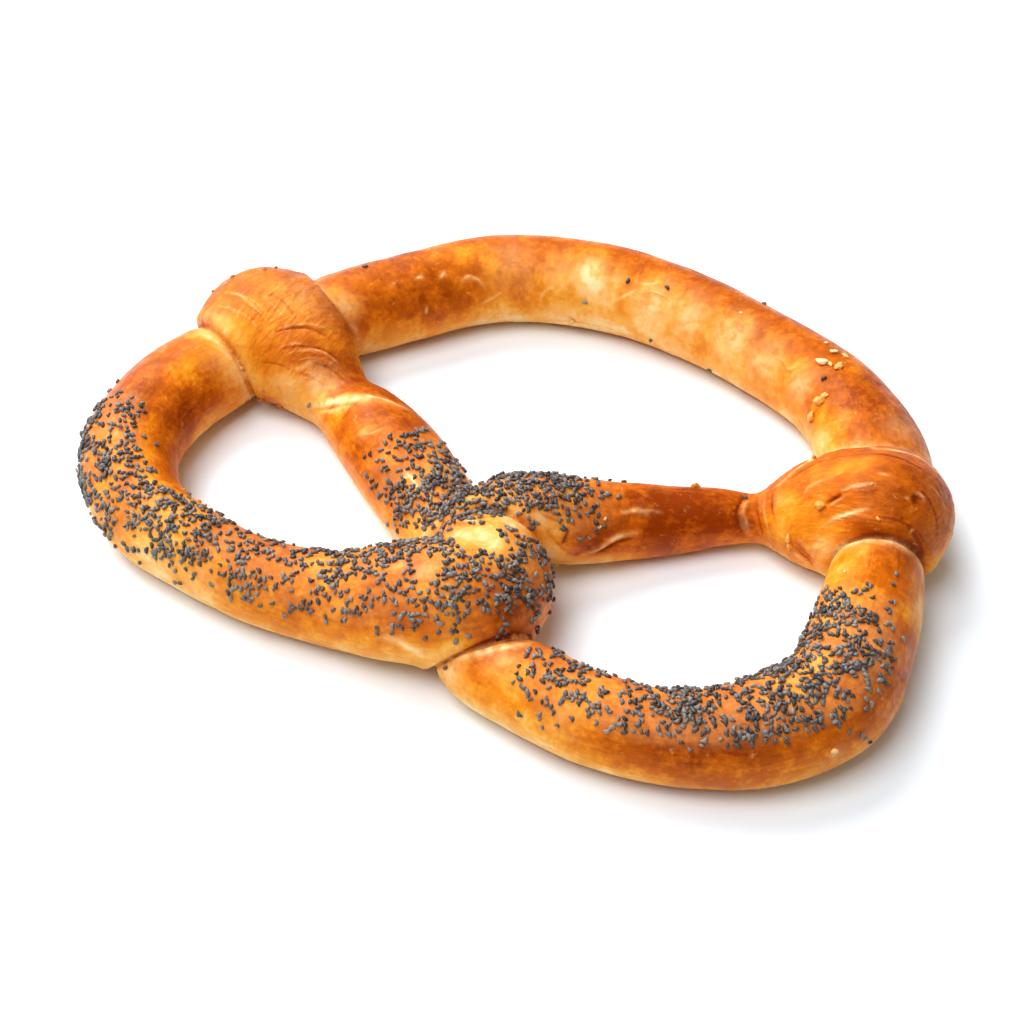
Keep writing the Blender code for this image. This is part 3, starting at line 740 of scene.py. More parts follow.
def smooth_through(marks, values, at):
    """A smooth curve through the values given at the marks, read at each place of at."""
    slopes = np.gradient(values, marks, axis=0)
    span = np.clip(np.searchsorted(marks, at, side="right") - 1, 0, len(marks) - 2)
    length = (marks[span + 1] - marks[span])[:, None]
    u = (at[:, None] - marks[span][:, None]) / length
    start = values[span]
    end = values[span + 1]
    return (
        start * (2 * u**3 - 3 * u**2 + 1)
        + end * (3 * u**2 - 2 * u**3)
        + slopes[span] * length * (u**3 - 2 * u**2 + u)
        + slopes[span + 1] * length * (u**3 - u**2)
    )


def unit(vectors):
    return vectors / np.linalg.norm(vectors, axis=-1, keepdims=True)


def smooth_step(low, high, values):
    u = np.clip((values - low) / (high - low), 0.0, 1.0)
    return u * u * (3.0 - 2.0 * u)


Sections = namedtuple("Sections", "centre along side up half_width half_height")


class Rope:
    """The rope's centre line and thickness, read by the distance along it."""

    def __init__(self, route):
        self.route = route
        self.rows = np.array(
            [[s.x, s.y, s.lift + s.height / 2, s.width / 2, s.height / 2] for s in route]
        )
        steps = np.linalg.norm(np.diff(self.rows[:, :3], axis=0), axis=1)
        self.marks = np.concatenate([[0.0], np.cumsum(steps)])
        self.length = float(self.marks[-1])

    def mark(self, half, name):
        place = next(place for place in half if place.name == name)
        return float(self.marks[self.route.index(place)])

    def read(self, marks):
        here = smooth_through(self.marks, self.rows, marks)
        ahead = smooth_through(self.marks, self.rows, marks + 0.5)
        behind = smooth_through(self.marks, self.rows, marks - 0.5)
        along = unit(ahead[:, :3] - behind[:, :3])
        side = unit(np.cross([0.0, 0.0, 1.0], along))
        up = np.cross(along, side)
        return Sections(here[:, :3], along, side, up, here[:, 3], here[:, 4])


# Where points of the crust lie on the rope: the mark, the angle round the rope (0 at its outer
# side, a quarter turn at its top), the reach from the centre line (1 on the surface), the gap
# to the next strand, that strand's mark, and the mark of the section measured from.
Places = namedtuple("Places", "mark angle reach gap other section")


def section_offsets(points, sections):
    """How far the points lie along, beside and above each section, as tables."""
    tables = []
    for axis in (sections.along, sections.side, sections.up):
        shift = np.sum(sections.centre * axis, axis=1)
        tables.append(points.astype(np.float32) @ axis.T.astype(np.float32) - shift)
    return tables


def find_places(rope, points):
    """The place on the rope of every point, measured from closely spaced sections."""
    marks = np.linspace(0.0, rope.length, int(rope.length / STRAND_STEP) + 1)
    sections = rope.read(marks)
    thickness = (sections.half_width + sections.half_height) / 2
    found = []
    for start in range(0, len(points), CHUNK):
        some = points[start : start + CHUNK]
        ahead, beside, above = section_offsets(some, sections)
        beyond = np.zeros_like(ahead, bool)
        beyond[:, 0] = ahead[:, 0] < 0.0
        beyond[:, -1] = ahead[:, -1] > 0.0
        slab = np.where(beyond, KNOT_DOME, thickness)
        beside = beside / sections.half_width
        above = above / sections.half_height
        reach = np.sqrt(beside**2 + above**2 + (ahead / slab) ** 2)
        row = np.arange(len(some))
        best = reach.argmin(axis=1)
        columns = [marks[best] + ahead[row, best], np.arctan2(above, beside)[row, best]]
        columns.append(reach[row, best])
        reach[np.abs(marks[None, :] - marks[best][:, None]) < STRANDS_APART] = np.inf
        second = reach.argmin(axis=1)
        columns += [(reach[row, second] - 1.0) * thickness[second], marks[second], marks[best]]
        found.append(np.stack(columns, axis=1))
    return Places(*np.concatenate(found).T)


def noise_at(points, length, shift=0.0):
    """Smooth noise between about -1 and 1 whose lumps are about the given length.

    Another shift gives another part of the noise.
    """
    scaled = (points + shift) / length
    return np.array([noise.noise(Vector(p)) for p in scaled])


# Node trees

def node(tree, kind, inputs=None, **settings):
    """Add a node whose inputs are given values or linked to other nodes' outputs."""
    made = tree.nodes.new(kind)
    for name, value in settings.items():
        setattr(made, name, value)
    for name, value in (inputs or {}).items():
        if isinstance(value, bpy.types.NodeSocket):
            tree.links.new(value, made.inputs[name])
        else:
            made.inputs[name].default_value = value
    return made


def geometry_tree(name, inputs):
    """A Geometry Nodes tree with named inputs, each given with its socket type."""
    tree = bpy.data.node_groups.new(name, "GeometryNodeTree")
    face = tree.interface
    face.new_socket("Geometry", in_out="INPUT", socket_type="NodeSocketGeometry")
    face.new_socket("Geometry", in_out="OUTPUT", socket_type="NodeSocketGeometry")
    for label, kind in inputs.items():
        face.new_socket(label, in_out="INPUT", socket_type=kind)
    return tree


def end_tree(tree, geometry, material):
    """Close a tree with Realize Instances and Set Material."""
    real = node(tree, "GeometryNodeRealizeInstances", {"Geometry": geometry})
    finished = node(
        tree, "GeometryNodeSetMaterial", {"Geometry": real.outputs[0], "Material": material}
    )
    node(tree, "NodeGroupOutput", {"Geometry": finished.outputs[0]})


def vector_math(tree, operation, first, second):
    kind = "ShaderNodeVectorMath"
    made = node(tree, kind, {0: first, 1: second}, operation=operation)
    return made.outputs["Vector"]


def scaled_vector(tree, vector, factor):
    inputs = {"Vector": vector, "Scale": factor}
    return node(tree, "ShaderNodeVectorMath", inputs, operation="SCALE").outputs["Vector"]


def add_tree(thing, tree, values):
    """Put a Geometry Nodes modifier on an object and set its inputs by their identifiers."""
    modifier = thing.modifiers.new(tree.name, "NODES")
    modifier.node_group = tree
    for item in tree.interface.items_tree:
        if item.item_type == "SOCKET" and item.in_out == "INPUT" and item.name in values:
            modifier[item.identifier] = values[item.name]
    return modifier


def as_plain_mesh(thing, name):
    """Replace an object by a plain mesh of what its modifiers make of it."""
    bpy.context.view_layer.update()
    evaluated = thing.evaluated_get(bpy.context.evaluated_depsgraph_get())
    mesh = bpy.data.meshes.new_from_object(evaluated)
    mesh.name = name
    bpy.data.objects.remove(thing)
    return add_object(name, mesh)


def add_object(name, mesh):
    thing = bpy.data.objects.new(name, mesh)
    bpy.context.scene.collection.objects.link(thing)
    return thing


# The rope of dough

def rope_tree():
    """Sweeps an oval section along a centre line that carries its half width and height."""
    tree = geometry_tree(
        "rope of dough",
        {"Sides": "NodeSocketInt", "Material": "NodeSocketMaterial"},
    )
    given = node(tree, "NodeGroupInput")
    line = node(tree, "GeometryNodeMeshToCurve", {"Mesh": given.outputs["Geometry"]})
    marked = node(tree, "GeometryNodeCaptureAttribute")
    marked.capture_items.new("VECTOR", "centre")
    marked.capture_items.new("VECTOR", "along")
    tree.links.new(line.outputs[0], marked.inputs[0])
    tree.links.new(node(tree, "GeometryNodeInputPosition").outputs[0], marked.inputs["centre"])
    tree.links.new(node(tree, "GeometryNodeInputTangent").outputs[0], marked.inputs["along"])
    circle = node(
        tree,
        "GeometryNodeCurvePrimitiveCircle",
        {"Resolution": given.outputs["Sides"], "Radius": 1.0},
    )
    rounded = node(tree, "GeometryNodeCaptureAttribute")
    rounded.capture_items.new("VECTOR", "round")
    tree.links.new(circle.outputs[0], rounded.inputs[0])
    tree.links.new(node(tree, "GeometryNodeInputPosition").outputs[0], rounded.inputs["round"])
    swept = node(
        tree,
        "GeometryNodeCurveToMesh",
        {"Curve": marked.outputs[0], "Profile Curve": rounded.outputs[0], "Fill Caps": True},
    )
    along = marked.outputs["along"]
    beside = vector_math(tree, "CROSS_PRODUCT", (0.0, 0.0, 1.0), along)
    side = node(tree, "ShaderNodeVectorMath", {0: beside}, operation="NORMALIZE").outputs["Vector"]
    up = vector_math(tree, "CROSS_PRODUCT", along, side)
    parts = node(tree, "ShaderNodeSeparateXYZ", {0: rounded.outputs["round"]})
    reaches = []
    for axis, share, half in ((side, "X", "half_width"), (up, "Y", "half_height")):
        size = node(tree, "GeometryNodeInputNamedAttribute", {"Name": half}, data_type="FLOAT")
        length = node(
            tree,
            "ShaderNodeMath",
            {0: parts.outputs[share], 1: size.outputs["Attribute"]},
            operation="MULTIPLY",
        )
        reaches.append(scaled_vector(tree, axis, length.outputs[0]))
    spread = vector_math(tree, "ADD", reaches[0], reaches[1])
    place = vector_math(tree, "ADD", marked.outputs["centre"], spread)
    placed = node(
        tree, "GeometryNodeSetPosition", {"Geometry": swept.outputs[0], "Position": place}
    )
    end_tree(tree, placed.outputs[0], given.outputs["Material"])
    return tree


def centre_line(rope):
    """Points of the centre line with their half widths and heights, with both knots' domes."""
    marks = np.linspace(0.0, rope.length, int(rope.length / LINE_STEP) + 1)
    body = rope.read(marks)
    turn = np.arange(1, DOME_STEPS + 1) / DOME_STEPS * math.pi / 2
    stretches = []
    for k, way in ((0, -1), (-1, 1)):
        share = np.maximum(np.cos(turn), 0.01)[:, None]
        centre = body.centre[k] + body.along[k] * (way * KNOT_DOME * np.sin(turn))[:, None]
        sizes = np.array([body.half_width[k], body.half_height[k]]) * share
        stretches.append(np.hstack([centre, sizes]))
    sizes = np.stack([body.half_width, body.half_height], axis=1)
    return np.vstack([stretches[0][::-1], np.hstack([body.centre, sizes]), stretches[1]])


def make_dough(rope, material):
    """The whole rope as one closed skin, with its strands grown together where they touch."""
    line = centre_line(rope)
    mesh = bpy.data.meshes.new("centre_line")
    places = (line[:, :3] - MIDDLE) * MM
    edges = [(k, k + 1) for k in range(len(line) - 1)]
    mesh.from_pydata(places.tolist(), edges, [])
    for column, label in ((3, "half_width"), (4, "half_height")):
        layer = mesh.attributes.new(label, "FLOAT", "POINT")
        layer.data.foreach_set("value", line[:, column] * MM)
    thing = add_object("centre_line", mesh)
    add_tree(thing, rope_tree(), {"Sides": SIDES, "Material": material})
    grown = thing.modifiers.new("grown together", "REMESH")
    grown.mode = "VOXEL"
    grown.voxel_size = CELL * MM
    grown.use_smooth_shade = True
    return as_plain_mesh(thing, "dough")


def points_of(mesh):
    co = np.empty(len(mesh.vertices) * 3)
    mesh.vertices.foreach_get("co", co)
    return co.reshape(-1, 3) / MM + MIDDLE


def set_points(mesh, points):
    mesh.vertices.foreach_set("co", ((points - MIDDLE) * MM).ravel())
    mesh.update()


def normals_of(mesh):
    normals = np.empty(len(mesh.vertices) * 3, np.float32)
    mesh.vertex_normals.foreach_get("vector", normals)
    return normals.reshape(-1, 3).astype(float)


def settle(rope, points):
    """Bring the remeshed points exactly on to the rope's skin."""
    places = find_places(rope, points)
    centre = rope.read(places.section).centre
    return centre + (points - centre) / places.reach[:, None]


def flatten_foot(points):
    """Turn what lies below the table softly into a flat foot."""
    height = points[:, 2]
    flat = (height + np.sqrt(height**2 + FOOT_ROUNDING**2)) / 2
    lifted = points.copy()
    lifted[:, 2] = np.where(height < FOOT_TOP, flat, height)
    return lifted


def camera_axes():
    azimuth, elevation = VIEW_AZIMUTH, VIEW_ELEVATION
    forward = np.array(
        [
            -math.sin(azimuth) * math.cos(elevation),
            math.cos(azimuth) * math.cos(elevation),
            -math.sin(elevation),
        ]
    )
    right = np.array([math.cos(azimuth), math.sin(azimuth), 0.0])
    return forward, right, np.cross(right, forward)


def skin_tree(mesh):
    """The crust as a tree for finding what a ray meets."""
    bm = bmesh.new()
    bm.from_mesh(mesh)
    tree = BVHTree.FromBMesh(bm)
    bm.free()
    return tree


def seen_at(tree, across, down):
    """What a ray through a pixel of the photograph meets, and the normal there."""
    forward, right, up = camera_axes()
    across = (across - PHOTO_SIZE / 2) / PHOTO_SIZE * SENSOR / LENS
    rise = (PHOTO_SIZE / 2 - down) / PHOTO_SIZE * SENSOR / LENS
    way = Vector(forward + right * across + up * rise).normalized()
    eye = Vector((-forward * VIEW_DISTANCE - MIDDLE) * MM)
    return tree.ray_cast(eye, way)[:2]


def on_crust(tree, pixel):
    """The point and normal of the crust at a pixel or near it, or nothing far beside it."""
    for away in range(NEAREST_PIXELS):
        for turn in np.arange(0.0, 2 * math.pi, math.pi / 4):
            hit, normal = seen_at(
                tree, pixel[0] + away * math.cos(turn), pixel[1] + away * math.sin(turn)
            )
            if hit is not None:
                return np.array(hit) / MM + MIDDLE, np.array(normal)
    return None


def spot_of(tree, mark):
    """The point of the crust that a row of a table is about."""
    return on_crust(tree, (mark.x, mark.y))[0]


def line_on_crust(tree, pixels):
    """Closely spaced points of the crust along a smooth line through pixels."""
    corners = np.array(pixels, float)
    steps = np.linalg.norm(np.diff(corners, axis=0), axis=1)
    marks = np.concatenate([[0.0], np.cumsum(steps)])
    at = np.linspace(0.0, marks[-1], int(marks[-1] / LINE_PIXELS) + 2)
    hits = [on_crust(tree, pixel) for pixel in smooth_through(marks, corners, at)]
    hits = [hit for hit in hits if hit is not None]
    return np.array([hit[0] for hit in hits]), np.array([hit[1] for hit in hits])


def nearness_to(traced, points, normals, width):
    """How near each point is to a line on the crust: 1 at its middle, 0 a few widths away."""
    line, facing = traced
    reach = LINE_REACH * width
    low = line.min(axis=0) - reach
    high = line.max(axis=0) + reach
    near = np.flatnonzero(np.all((points > low) & (points < high), axis=1))
    gaps = np.linalg.norm(points[near][:, None] - line[None], axis=2)
    closest = gaps.argmin(axis=1)
    share = closest / max(len(line) - 1, 1)
    taper = np.sin(np.pi * np.clip(share, LINE_END, 1.0 - LINE_END)) ** LINE_TAPER
    same_side = np.sum(normals[near] * facing[closest], axis=1) > SAME_SIDE
    nearness = np.zeros(len(points))
    shape = np.exp(-((gaps.min(axis=1) / width) ** 2))
    nearness[near] = shape * taper * same_side
    return nearness


def patch(points, centre, radius):
    """1 at the centre of a soft round patch, fading over its radius."""
    return np.exp(-np.sum((points - centre) ** 2, axis=1) / radius**2)


def strand_place(rope, points, places):
    """Each point's place on the rope pulled straight: along it, beside it and above it."""
    here = rope.read(places.section)
    offset = points - here.centre
    beside = np.sum(offset * here.side, axis=1)
    above = np.sum(offset * here.up, axis=1)
    return np.stack([places.mark, beside, above], axis=1)


def sprinkled(rope, places):
    """How thickly each place of the crust is sprinkled with seeds, from 0 to 1."""
    thick = np.zeros(len(places.mark))
    angle = np.degrees(places.angle)
    for stretch in SPRINKLINGS:
        rows = [
            (rope.mark(row.half, row.station) + row.past, row.middle, row.reach, row.thick)
            for row in stretch
        ]
        marks, middles, reaches, amounts = np.array(sorted(rows)).T
        inside = (places.mark > marks[0]) & (places.mark < marks[-1])
        middle = np.interp(places.mark, marks, middles)
        reach = np.interp(places.mark, marks, reaches)
        off = np.abs((angle - middle + 180.0) % 360.0 - 180.0)
        edge = 1.0 - smooth_step(reach - BAND_EDGE, reach + BAND_EDGE, off)
        amount = np.interp(places.mark, marks, amounts)
        thick = np.maximum(thick, inside * edge * amount)
    return thick


def knot_share(rope, places):
    """1 on the two knots, falling to 0 at their necks."""
    left = rope.mark(LEFT_HALF, "neck")
    right = rope.mark(RIGHT_HALF, "neck")
    on_left = 1.0 - smooth_step(left - KNOT_SIDE, left + ARM_SIDE, places.mark)
    on_right = smooth_step(right - ARM_SIDE, right + KNOT_SIDE, places.mark)
    return np.maximum(on_left, on_right)


def write_values(mesh, name, values):
    kind = "FLOAT" if values.ndim == 1 else "FLOAT_VECTOR"
    layer = mesh.attributes.new(name, kind, "POINT")
    channel = "value" if values.ndim == 1 else "vector"
    layer.data.foreach_set(channel, values.astype(np.float32).ravel())


def split_faces(mesh, wanted):
    """Split each face whose corners are all wanted into four."""
    bm = bmesh.new()
    bm.from_mesh(mesh)
    edges = [e for e in bm.edges if wanted[e.verts[0].index] and wanted[e.verts[1].index]]
    bmesh.ops.subdivide_edges(bm, edges=edges, cuts=1, use_grid_fill=True)
    bm.to_mesh(mesh)
    bm.free()


def refine(mesh, rope, lines):
    """Split the crust more finely on the knots and along the creases and wrinkles."""
    line_points = KDTree(sum(len(line) for line, facing in lines))
    for line, facing in lines:
        for point in line:
            line_points.insert(point, 0)
    line_points.balance()
    for crease_split, line_split in zip(CREASE_SPLITS, LINE_SPLITS):
        points = points_of(mesh)
        places = find_places(rope, points)
        away = np.array([line_points.find(point)[2] for point in points])
        wanted = (away < line_split) | ((places.gap < crease_split) & (points[:, 2] > FINE_ABOVE))
        if crease_split == CREASE_SPLITS[0]:
            faces_up = normals_of(mesh)[:, 2] > FINE_FACING
            wanted |= (knot_share(rope, places) > KNOT_SPLIT) & faces_up
        split_faces(mesh, wanted)
        set_points(mesh, settle(rope, points_of(mesh)))


def gathered(rope, strand, places):
    """Each point's place on the straight rope, drawn out the way its skin is stretched."""
    marks = np.arange(places.mark.min(), places.mark.max() + STRAND_STEP, STRAND_STEP)
    left = rope.mark(LEFT_HALF, "neck")
    across = 1.0 - smooth_step(left - KNOT_SIDE, left, marks)
    ring_start = [rope.mark(LEFT_HALF, name) for name in ("under knot", "ring left")]
    ring_end = [rope.mark(RIGHT_HALF, name) for name in ("ring right", "ring shoulder")]
    ring = smooth_step(*ring_start, marks) - smooth_step(*ring_end, marks)
    shares = np.stack([across, ring, 1.0 - across - ring], axis=1)
    along, beside, above = (shares @ np.array([GRAIN_ACROSS, GRAIN_RING, GRAIN_ALONG])).T
    drawn = [np.interp(places.mark, marks, np.cumsum(along) * STRAND_STEP)]
    drawn.append(strand[:, 1] * np.interp(places.mark, marks, beside))
    drawn.append(strand[:, 2] * np.interp(places.mark, marks, above))
    return np.stack(drawn, axis=1)


def warped(points):
    """Points shifted by noise, so that a round patch measured from them has an uneven edge."""
    wide, fine = WARP_LENGTHS
    shifts = [
        noise_at(points, wide, k) + FINE_WARP * noise_at(points, fine, k) for k in WARP_SHIFTS
    ]
    return points + WARP * np.stack(shifts, axis=1)


def ridges(values, width):
    """Sharp ridges where noise crosses nothing."""
    return 1.0 - np.clip(np.abs(values) / width, 0.0, 1.0)


# The points of the crust while it is shaped: the skin as a tree, where they are and face, their
# places on the rope and on the rope pulled straight, the grain of the skin, how much of a knot
# they are, how far the next strand is and how much this one lies over it, their places with
# wandering edges, how near they are to the sole, and how thickly their band is sown.
Crust = namedtuple(
    "Crust", "tree points normals places strand grain knots gap over shifted sole band"
)


def study_crust(mesh, rope, tree):
    points = points_of(mesh)
    places = find_places(rope, points)
    strand = strand_place(rope, points, places)
    own_height = rope.read(places.section).centre[:, 2]
    other_height = rope.read(places.other).centre[:, 2]
    return Crust(
        tree=tree,
        points=points,
        normals=normals_of(mesh),
        places=places,
        strand=strand,
        grain=gathered(rope, strand, places),
        knots=knot_share(rope, places),
        gap=np.maximum(places.gap, 0.0),
        over=smooth_step(-1.0, 1.0, own_height - other_height),
        shifted=warped(points),
        sole=np.exp(-np.maximum(points[:, 2] - SOLE_TOP, 0.0) / SOLE_FADE),
        band=sprinkled(rope, places),
    )


def near_lines(crust, rows, lines):
    """Each row of a table of lines with how near the crust is to its line."""
    for row, line in zip(rows, lines):
        width = row.width * LINE_NARROW
        yield row, nearness_to(line, crust.points, crust.normals, width)


def relief_of(crust, lines):
    """How far the crust stands off the plain rope, and how near its ridges and grooves are."""
    crease = np.exp(-crust.gap / CREASE_WIDTH)
    lip = crust.over * np.exp(-(((crust.places.gap - LIP_PLACE) / LIP_WIDTH) ** 2))
    pinch = (1.0 - crust.over) * np.exp(-crust.gap / PINCH_WIDTH)
    height = UNEVEN * noise_at(crust.points, UNEVEN_LENGTH)
    height += LUMP_HEIGHT * noise_at(crust.points, LUMP_LENGTH)
    height += LIP_HEIGHT * lip - CREASE_DEPTH * crease - PINCH_DEPTH * pinch
    folds = ridges(noise_at(crust.grain, GRAIN_LENGTH), GRAIN_WIDTH)
    strength = GRAIN_OFF_KNOTS + (1.0 - GRAIN_OFF_KNOTS) * crust.knots
    height += GRAIN_HEIGHT * (folds - GRAIN_SUNK) * strength
    ridge_lines = np.zeros(len(crust.points))
    groove_lines = np.zeros(len(crust.points))
    for wrinkle, nearness in near_lines(crust, WRINKLES, lines):
        height -= wrinkle.depth * nearness
        drawn = ridge_lines if wrinkle.depth < 0 else groove_lines
        np.maximum(drawn, nearness, out=drawn)
    for bump in BUMPS:
        height += bump.height * patch(crust.points, spot_of(crust.tree, bump), bump.radius)
    height += SOLE_EDGE * crust.sole * noise_at(crust.points, SOLE_EDGE_LENGTH, SOLE_SHIFT)
    return height, ridge_lines, groove_lines


def baking_and_shade_of(crust, groove_lines):
    """How baked each point of the crust is, plus painted shade and painted highlights."""
    bake = BAKE_FOOT + (BAKE_TOP - BAKE_FOOT) * smooth_step(*BAKE_FACING, crust.normals[:, 2])
    drawn = crust.strand * np.array(BAKE_LUMP_DRAWN)
    bake += BAKE_LUMP_CHANGE * noise_at(drawn, BAKE_LUMP, LUMP_SHIFT)
    bake += BAKE_SPOT_CHANGE * noise_at(crust.strand, BAKE_SPOT, SPOT_SHIFT)
    for place in TONE_PATCHES:
        measured = crust.shifted if place.radius > SMALL_PATCH else crust.points
        bake += place.change * patch(measured, spot_of(crust.tree, place), place.radius)
    bake = BAKE_MIDDLE + BAKE_CONTRAST * (bake - BAKE_MIDDLE)
    past = BAKE_LIMIT + BAKE_PAST_LIMIT * (bake - BAKE_LIMIT)
    bake = np.where(bake > BAKE_LIMIT, past, bake)
    crease_shade = CREASE_PAINTED_SHADE * np.exp(-crust.gap / CREASE_SHADE_WIDTH)
    return bake + (GROOVE_PAINTED_SHADE * groove_lines + crease_shade + SOLE_BAKE * crust.sole)


def paleness_of(crust, ridge_lines, lines):
    """How pale each point of the crust is: uncoloured dough, and some painted highlights."""
    low = 1.0 - smooth_step(*FOOT_HEIGHTS, crust.points[:, 2])
    collar = sum(
        share * np.exp(-(((crust.gap - place) / width) ** 2)) for share, place, width in COLLARS
    )
    pale = np.maximum((1.0 - crust.over) * np.clip(collar, 0.0, 1.0), FOOT_PALE * low)
    pale = np.maximum(pale, RIDGE_PALE * ridge_lines)
    pale = np.maximum(pale, SOWN_PALE * crust.band)
    ragged = crust.points + CREAM_WARP * (crust.shifted - crust.points)
    for place in PALE_PATCHES:
        near = patch(ragged, spot_of(crust.tree, place), place.radius)
        cleared = pale * (1.0 + min(place.share, 0.0) * near)
        pale = np.maximum(cleared, place.share * near)
    for streak, nearness in near_lines(crust, STREAKS, lines):
        pale = np.maximum(pale, streak.share * nearness)
    return pale


def sowing_of(crust):
    """How thickly seeds lie on each point of the crust, and how thickly others lie on them."""
    clumps = smooth_step(*CLUMP_EDGES, noise_at(crust.points, CLUMP, CLUMP_SHIFT))
    thick = crust.band * (BETWEEN_CLUMPS + (1.0 - BETWEEN_CLUMPS) * clumps)
    for place in SOWN:
        thick += place.change * patch(crust.points, spot_of(crust.tree, place), place.radius)
    widened = crust.places.gap + OPEN_FOR_PILES * np.maximum(thick - 1.0, 0.0)
    open_crust = smooth_step(*OPEN_GAPS, widened)
    return np.clip(thick, 0.0, 1.0) * open_crust, smooth_step(*PILED, thick) * open_crust


def shape_crust(mesh, rope):
    """Give the dough its unevenness, creases, wrinkles, baking and painted light, and seed places."""
    set_points(mesh, settle(rope, points_of(mesh)))
    tree = skin_tree(mesh)
    wrinkle_lines = [line_on_crust(tree, wrinkle.pixels) for wrinkle in WRINKLES]
    streak_lines = [line_on_crust(tree, streak.pixels) for streak in STREAKS]
    refine(mesh, rope, wrinkle_lines + streak_lines)
    crust = study_crust(mesh, rope, tree)
    height, ridge_lines, groove_lines = relief_of(crust, wrinkle_lines)
    set_points(mesh, flatten_foot(crust.points + crust.normals * height[:, None]))
    write_values(mesh, "grain", crust.grain)
    write_values(mesh, "bake", baking_and_shade_of(crust, groove_lines))
    write_values(mesh, "pale", paleness_of(crust, ridge_lines, streak_lines))
    write_values(mesh, "knot", crust.knots)
    seeded, piled = sowing_of(crust)
    write_values(mesh, "seeded", seeded)
    write_values(mesh, "piled", piled)


# Poppy seeds

def seed_shape(name, bend):
    """One kidney-shaped seed, lying with its dent to one side."""
    bm = bmesh.new()
    bmesh.ops.create_uvsphere(bm, u_segments=SEED_SIDES, v_segments=SEED_BANDS, radius=1.0)
    draw = random.Random(name)
    for vert in bm.verts:
        z, x, y = vert.co
        y += bend * (2.0 * x * x - 1.0)
        share = 1.0 + SEED_FAT_END * x + draw.uniform(-SEED_UNEVEN, SEED_UNEVEN)
        size = Vector((SEED_LENGTH * x, SEED_WIDTH * y * share, SEED_HEIGHT * z * share))
        vert.co = size * (MM / 2)
    mesh = bpy.data.meshes.new(name)
    bm.to_mesh(mesh)
    bm.free()
    mesh.shade_smooth()
    return bpy.data.objects.new(name, mesh)


def sprinkling_tree():
    """Scatters seeds over a crust where one of its attributes says, turned any way."""
    tree = geometry_tree(
        "sprinkling of seeds",
        {
            "Where": "NodeSocketString",
            "Seeds": "NodeSocketCollection",
            "Closest": "NodeSocketFloat",
            "Cover": "NodeSocketFloat",
            "Stands": "NodeSocketFloat",
            "Tilt": "NodeSocketFloat",
            "Smallest": "NodeSocketFloat",
            "Largest": "NodeSocketFloat",
            "Draw": "NodeSocketInt",
            "Material": "NodeSocketMaterial",
        },
    )
    given = node(tree, "NodeGroupInput").outputs
    where = node(
        tree, "GeometryNodeInputNamedAttribute", {"Name": given["Where"]}, data_type="FLOAT"
    )
    spread = node(
        tree,
        "GeometryNodeDistributePointsOnFaces",
        {
            "Mesh": given["Geometry"],
            "Distance Min": given["Closest"],
            "Density Max": given["Cover"],
            "Density Factor": where.outputs["Attribute"],
            "Seed": given["Draw"],
        },
        distribute_method="POISSON",
    )
    lifted = node(
        tree,
        "GeometryNodeSetPosition",
        {
            "Geometry": spread.outputs["Points"],
            "Offset": scaled_vector(tree, spread.outputs["Normal"], given["Stands"]),
        },
    )
    least = node(tree, "ShaderNodeMath", {0: given["Tilt"], 1: -1.0}, operation="MULTIPLY")
    low = node(
        tree,
        "ShaderNodeCombineXYZ",
        {"X": least.outputs[0], "Y": least.outputs[0], "Z": 0.0},
    )
    high = node(
        tree,
        "ShaderNodeCombineXYZ",
        {"X": given["Tilt"], "Y": given["Tilt"], "Z": 2 * math.pi},
    )
    turn = node(
        tree,
        "FunctionNodeRandomValue",
        {0: low.outputs[0], 1: high.outputs[0], "Seed": 1},
        data_type="FLOAT_VECTOR",
    )
    rotation = node(tree, "FunctionNodeEulerToRotation", {0: turn.outputs[0]})
    turned = node(
        tree,
        "FunctionNodeRotateRotation",
        {"Rotation": spread.outputs["Rotation"], "Rotate By": rotation.outputs[0]},
        rotation_space="LOCAL",
    )
    size = node(
        tree,
        "FunctionNodeRandomValue",
        {2: given["Smallest"], 3: given["Largest"], "Seed": 2},
        data_type="FLOAT",
    )
    pick = node(
        tree,
        "FunctionNodeRandomValue",
        {4: 0, 5: len(SEED_BENDS) - 1, "Seed": 3},
        data_type="INT",
    )
    shapes = node(
        tree,
        "GeometryNodeCollectionInfo",
        {"Collection": given["Seeds"], "Separate Children": True, "Reset Children": True},
    )
    placed = node(
        tree,
        "GeometryNodeInstanceOnPoints",
        {
            "Points": lifted.outputs[0],
            "Instance": shapes.outputs[0],
            "Pick Instance": True,
            "Instance Index": pick.outputs[2],
            "Rotation": turned.outputs[0],
            "Scale": size.outputs[1],
        },
    )
    tint = node(tree, "FunctionNodeRandomValue", {2: 0.0, 3: 1.0, "Seed": 4}, data_type="FLOAT")
    tinted = node(
        tree,
        "GeometryNodeStoreNamedAttribute",
        {"Geometry": placed.outputs[0], "Name": "tint", "Value": tint.outputs[1]},
        data_type="FLOAT",
        domain="INSTANCE",
    )
    end_tree(tree, tinted.outputs[0], given["Material"])
    return tree


def sprinkle(dough, name, where, tree, shapes, material, closest, cover, stands, draw):
    """One layer of seeds on the crust, where the named attribute says."""
    carrier = add_object(name, dough.data.copy())
    values = {
        "Where": where,
        "Seeds": shapes,
        "Closest": closest * MM,
        "Cover": cover / MM**2,
        "Stands": stands * MM,
        "Tilt": SEED_TILT,
        "Smallest": SEED_SIZES[0],
        "Largest": SEED_SIZES[1],
        "Draw": draw,
        "Material": material,
    }
    add_tree(carrier, tree, values)
    return as_plain_mesh(carrier, name)


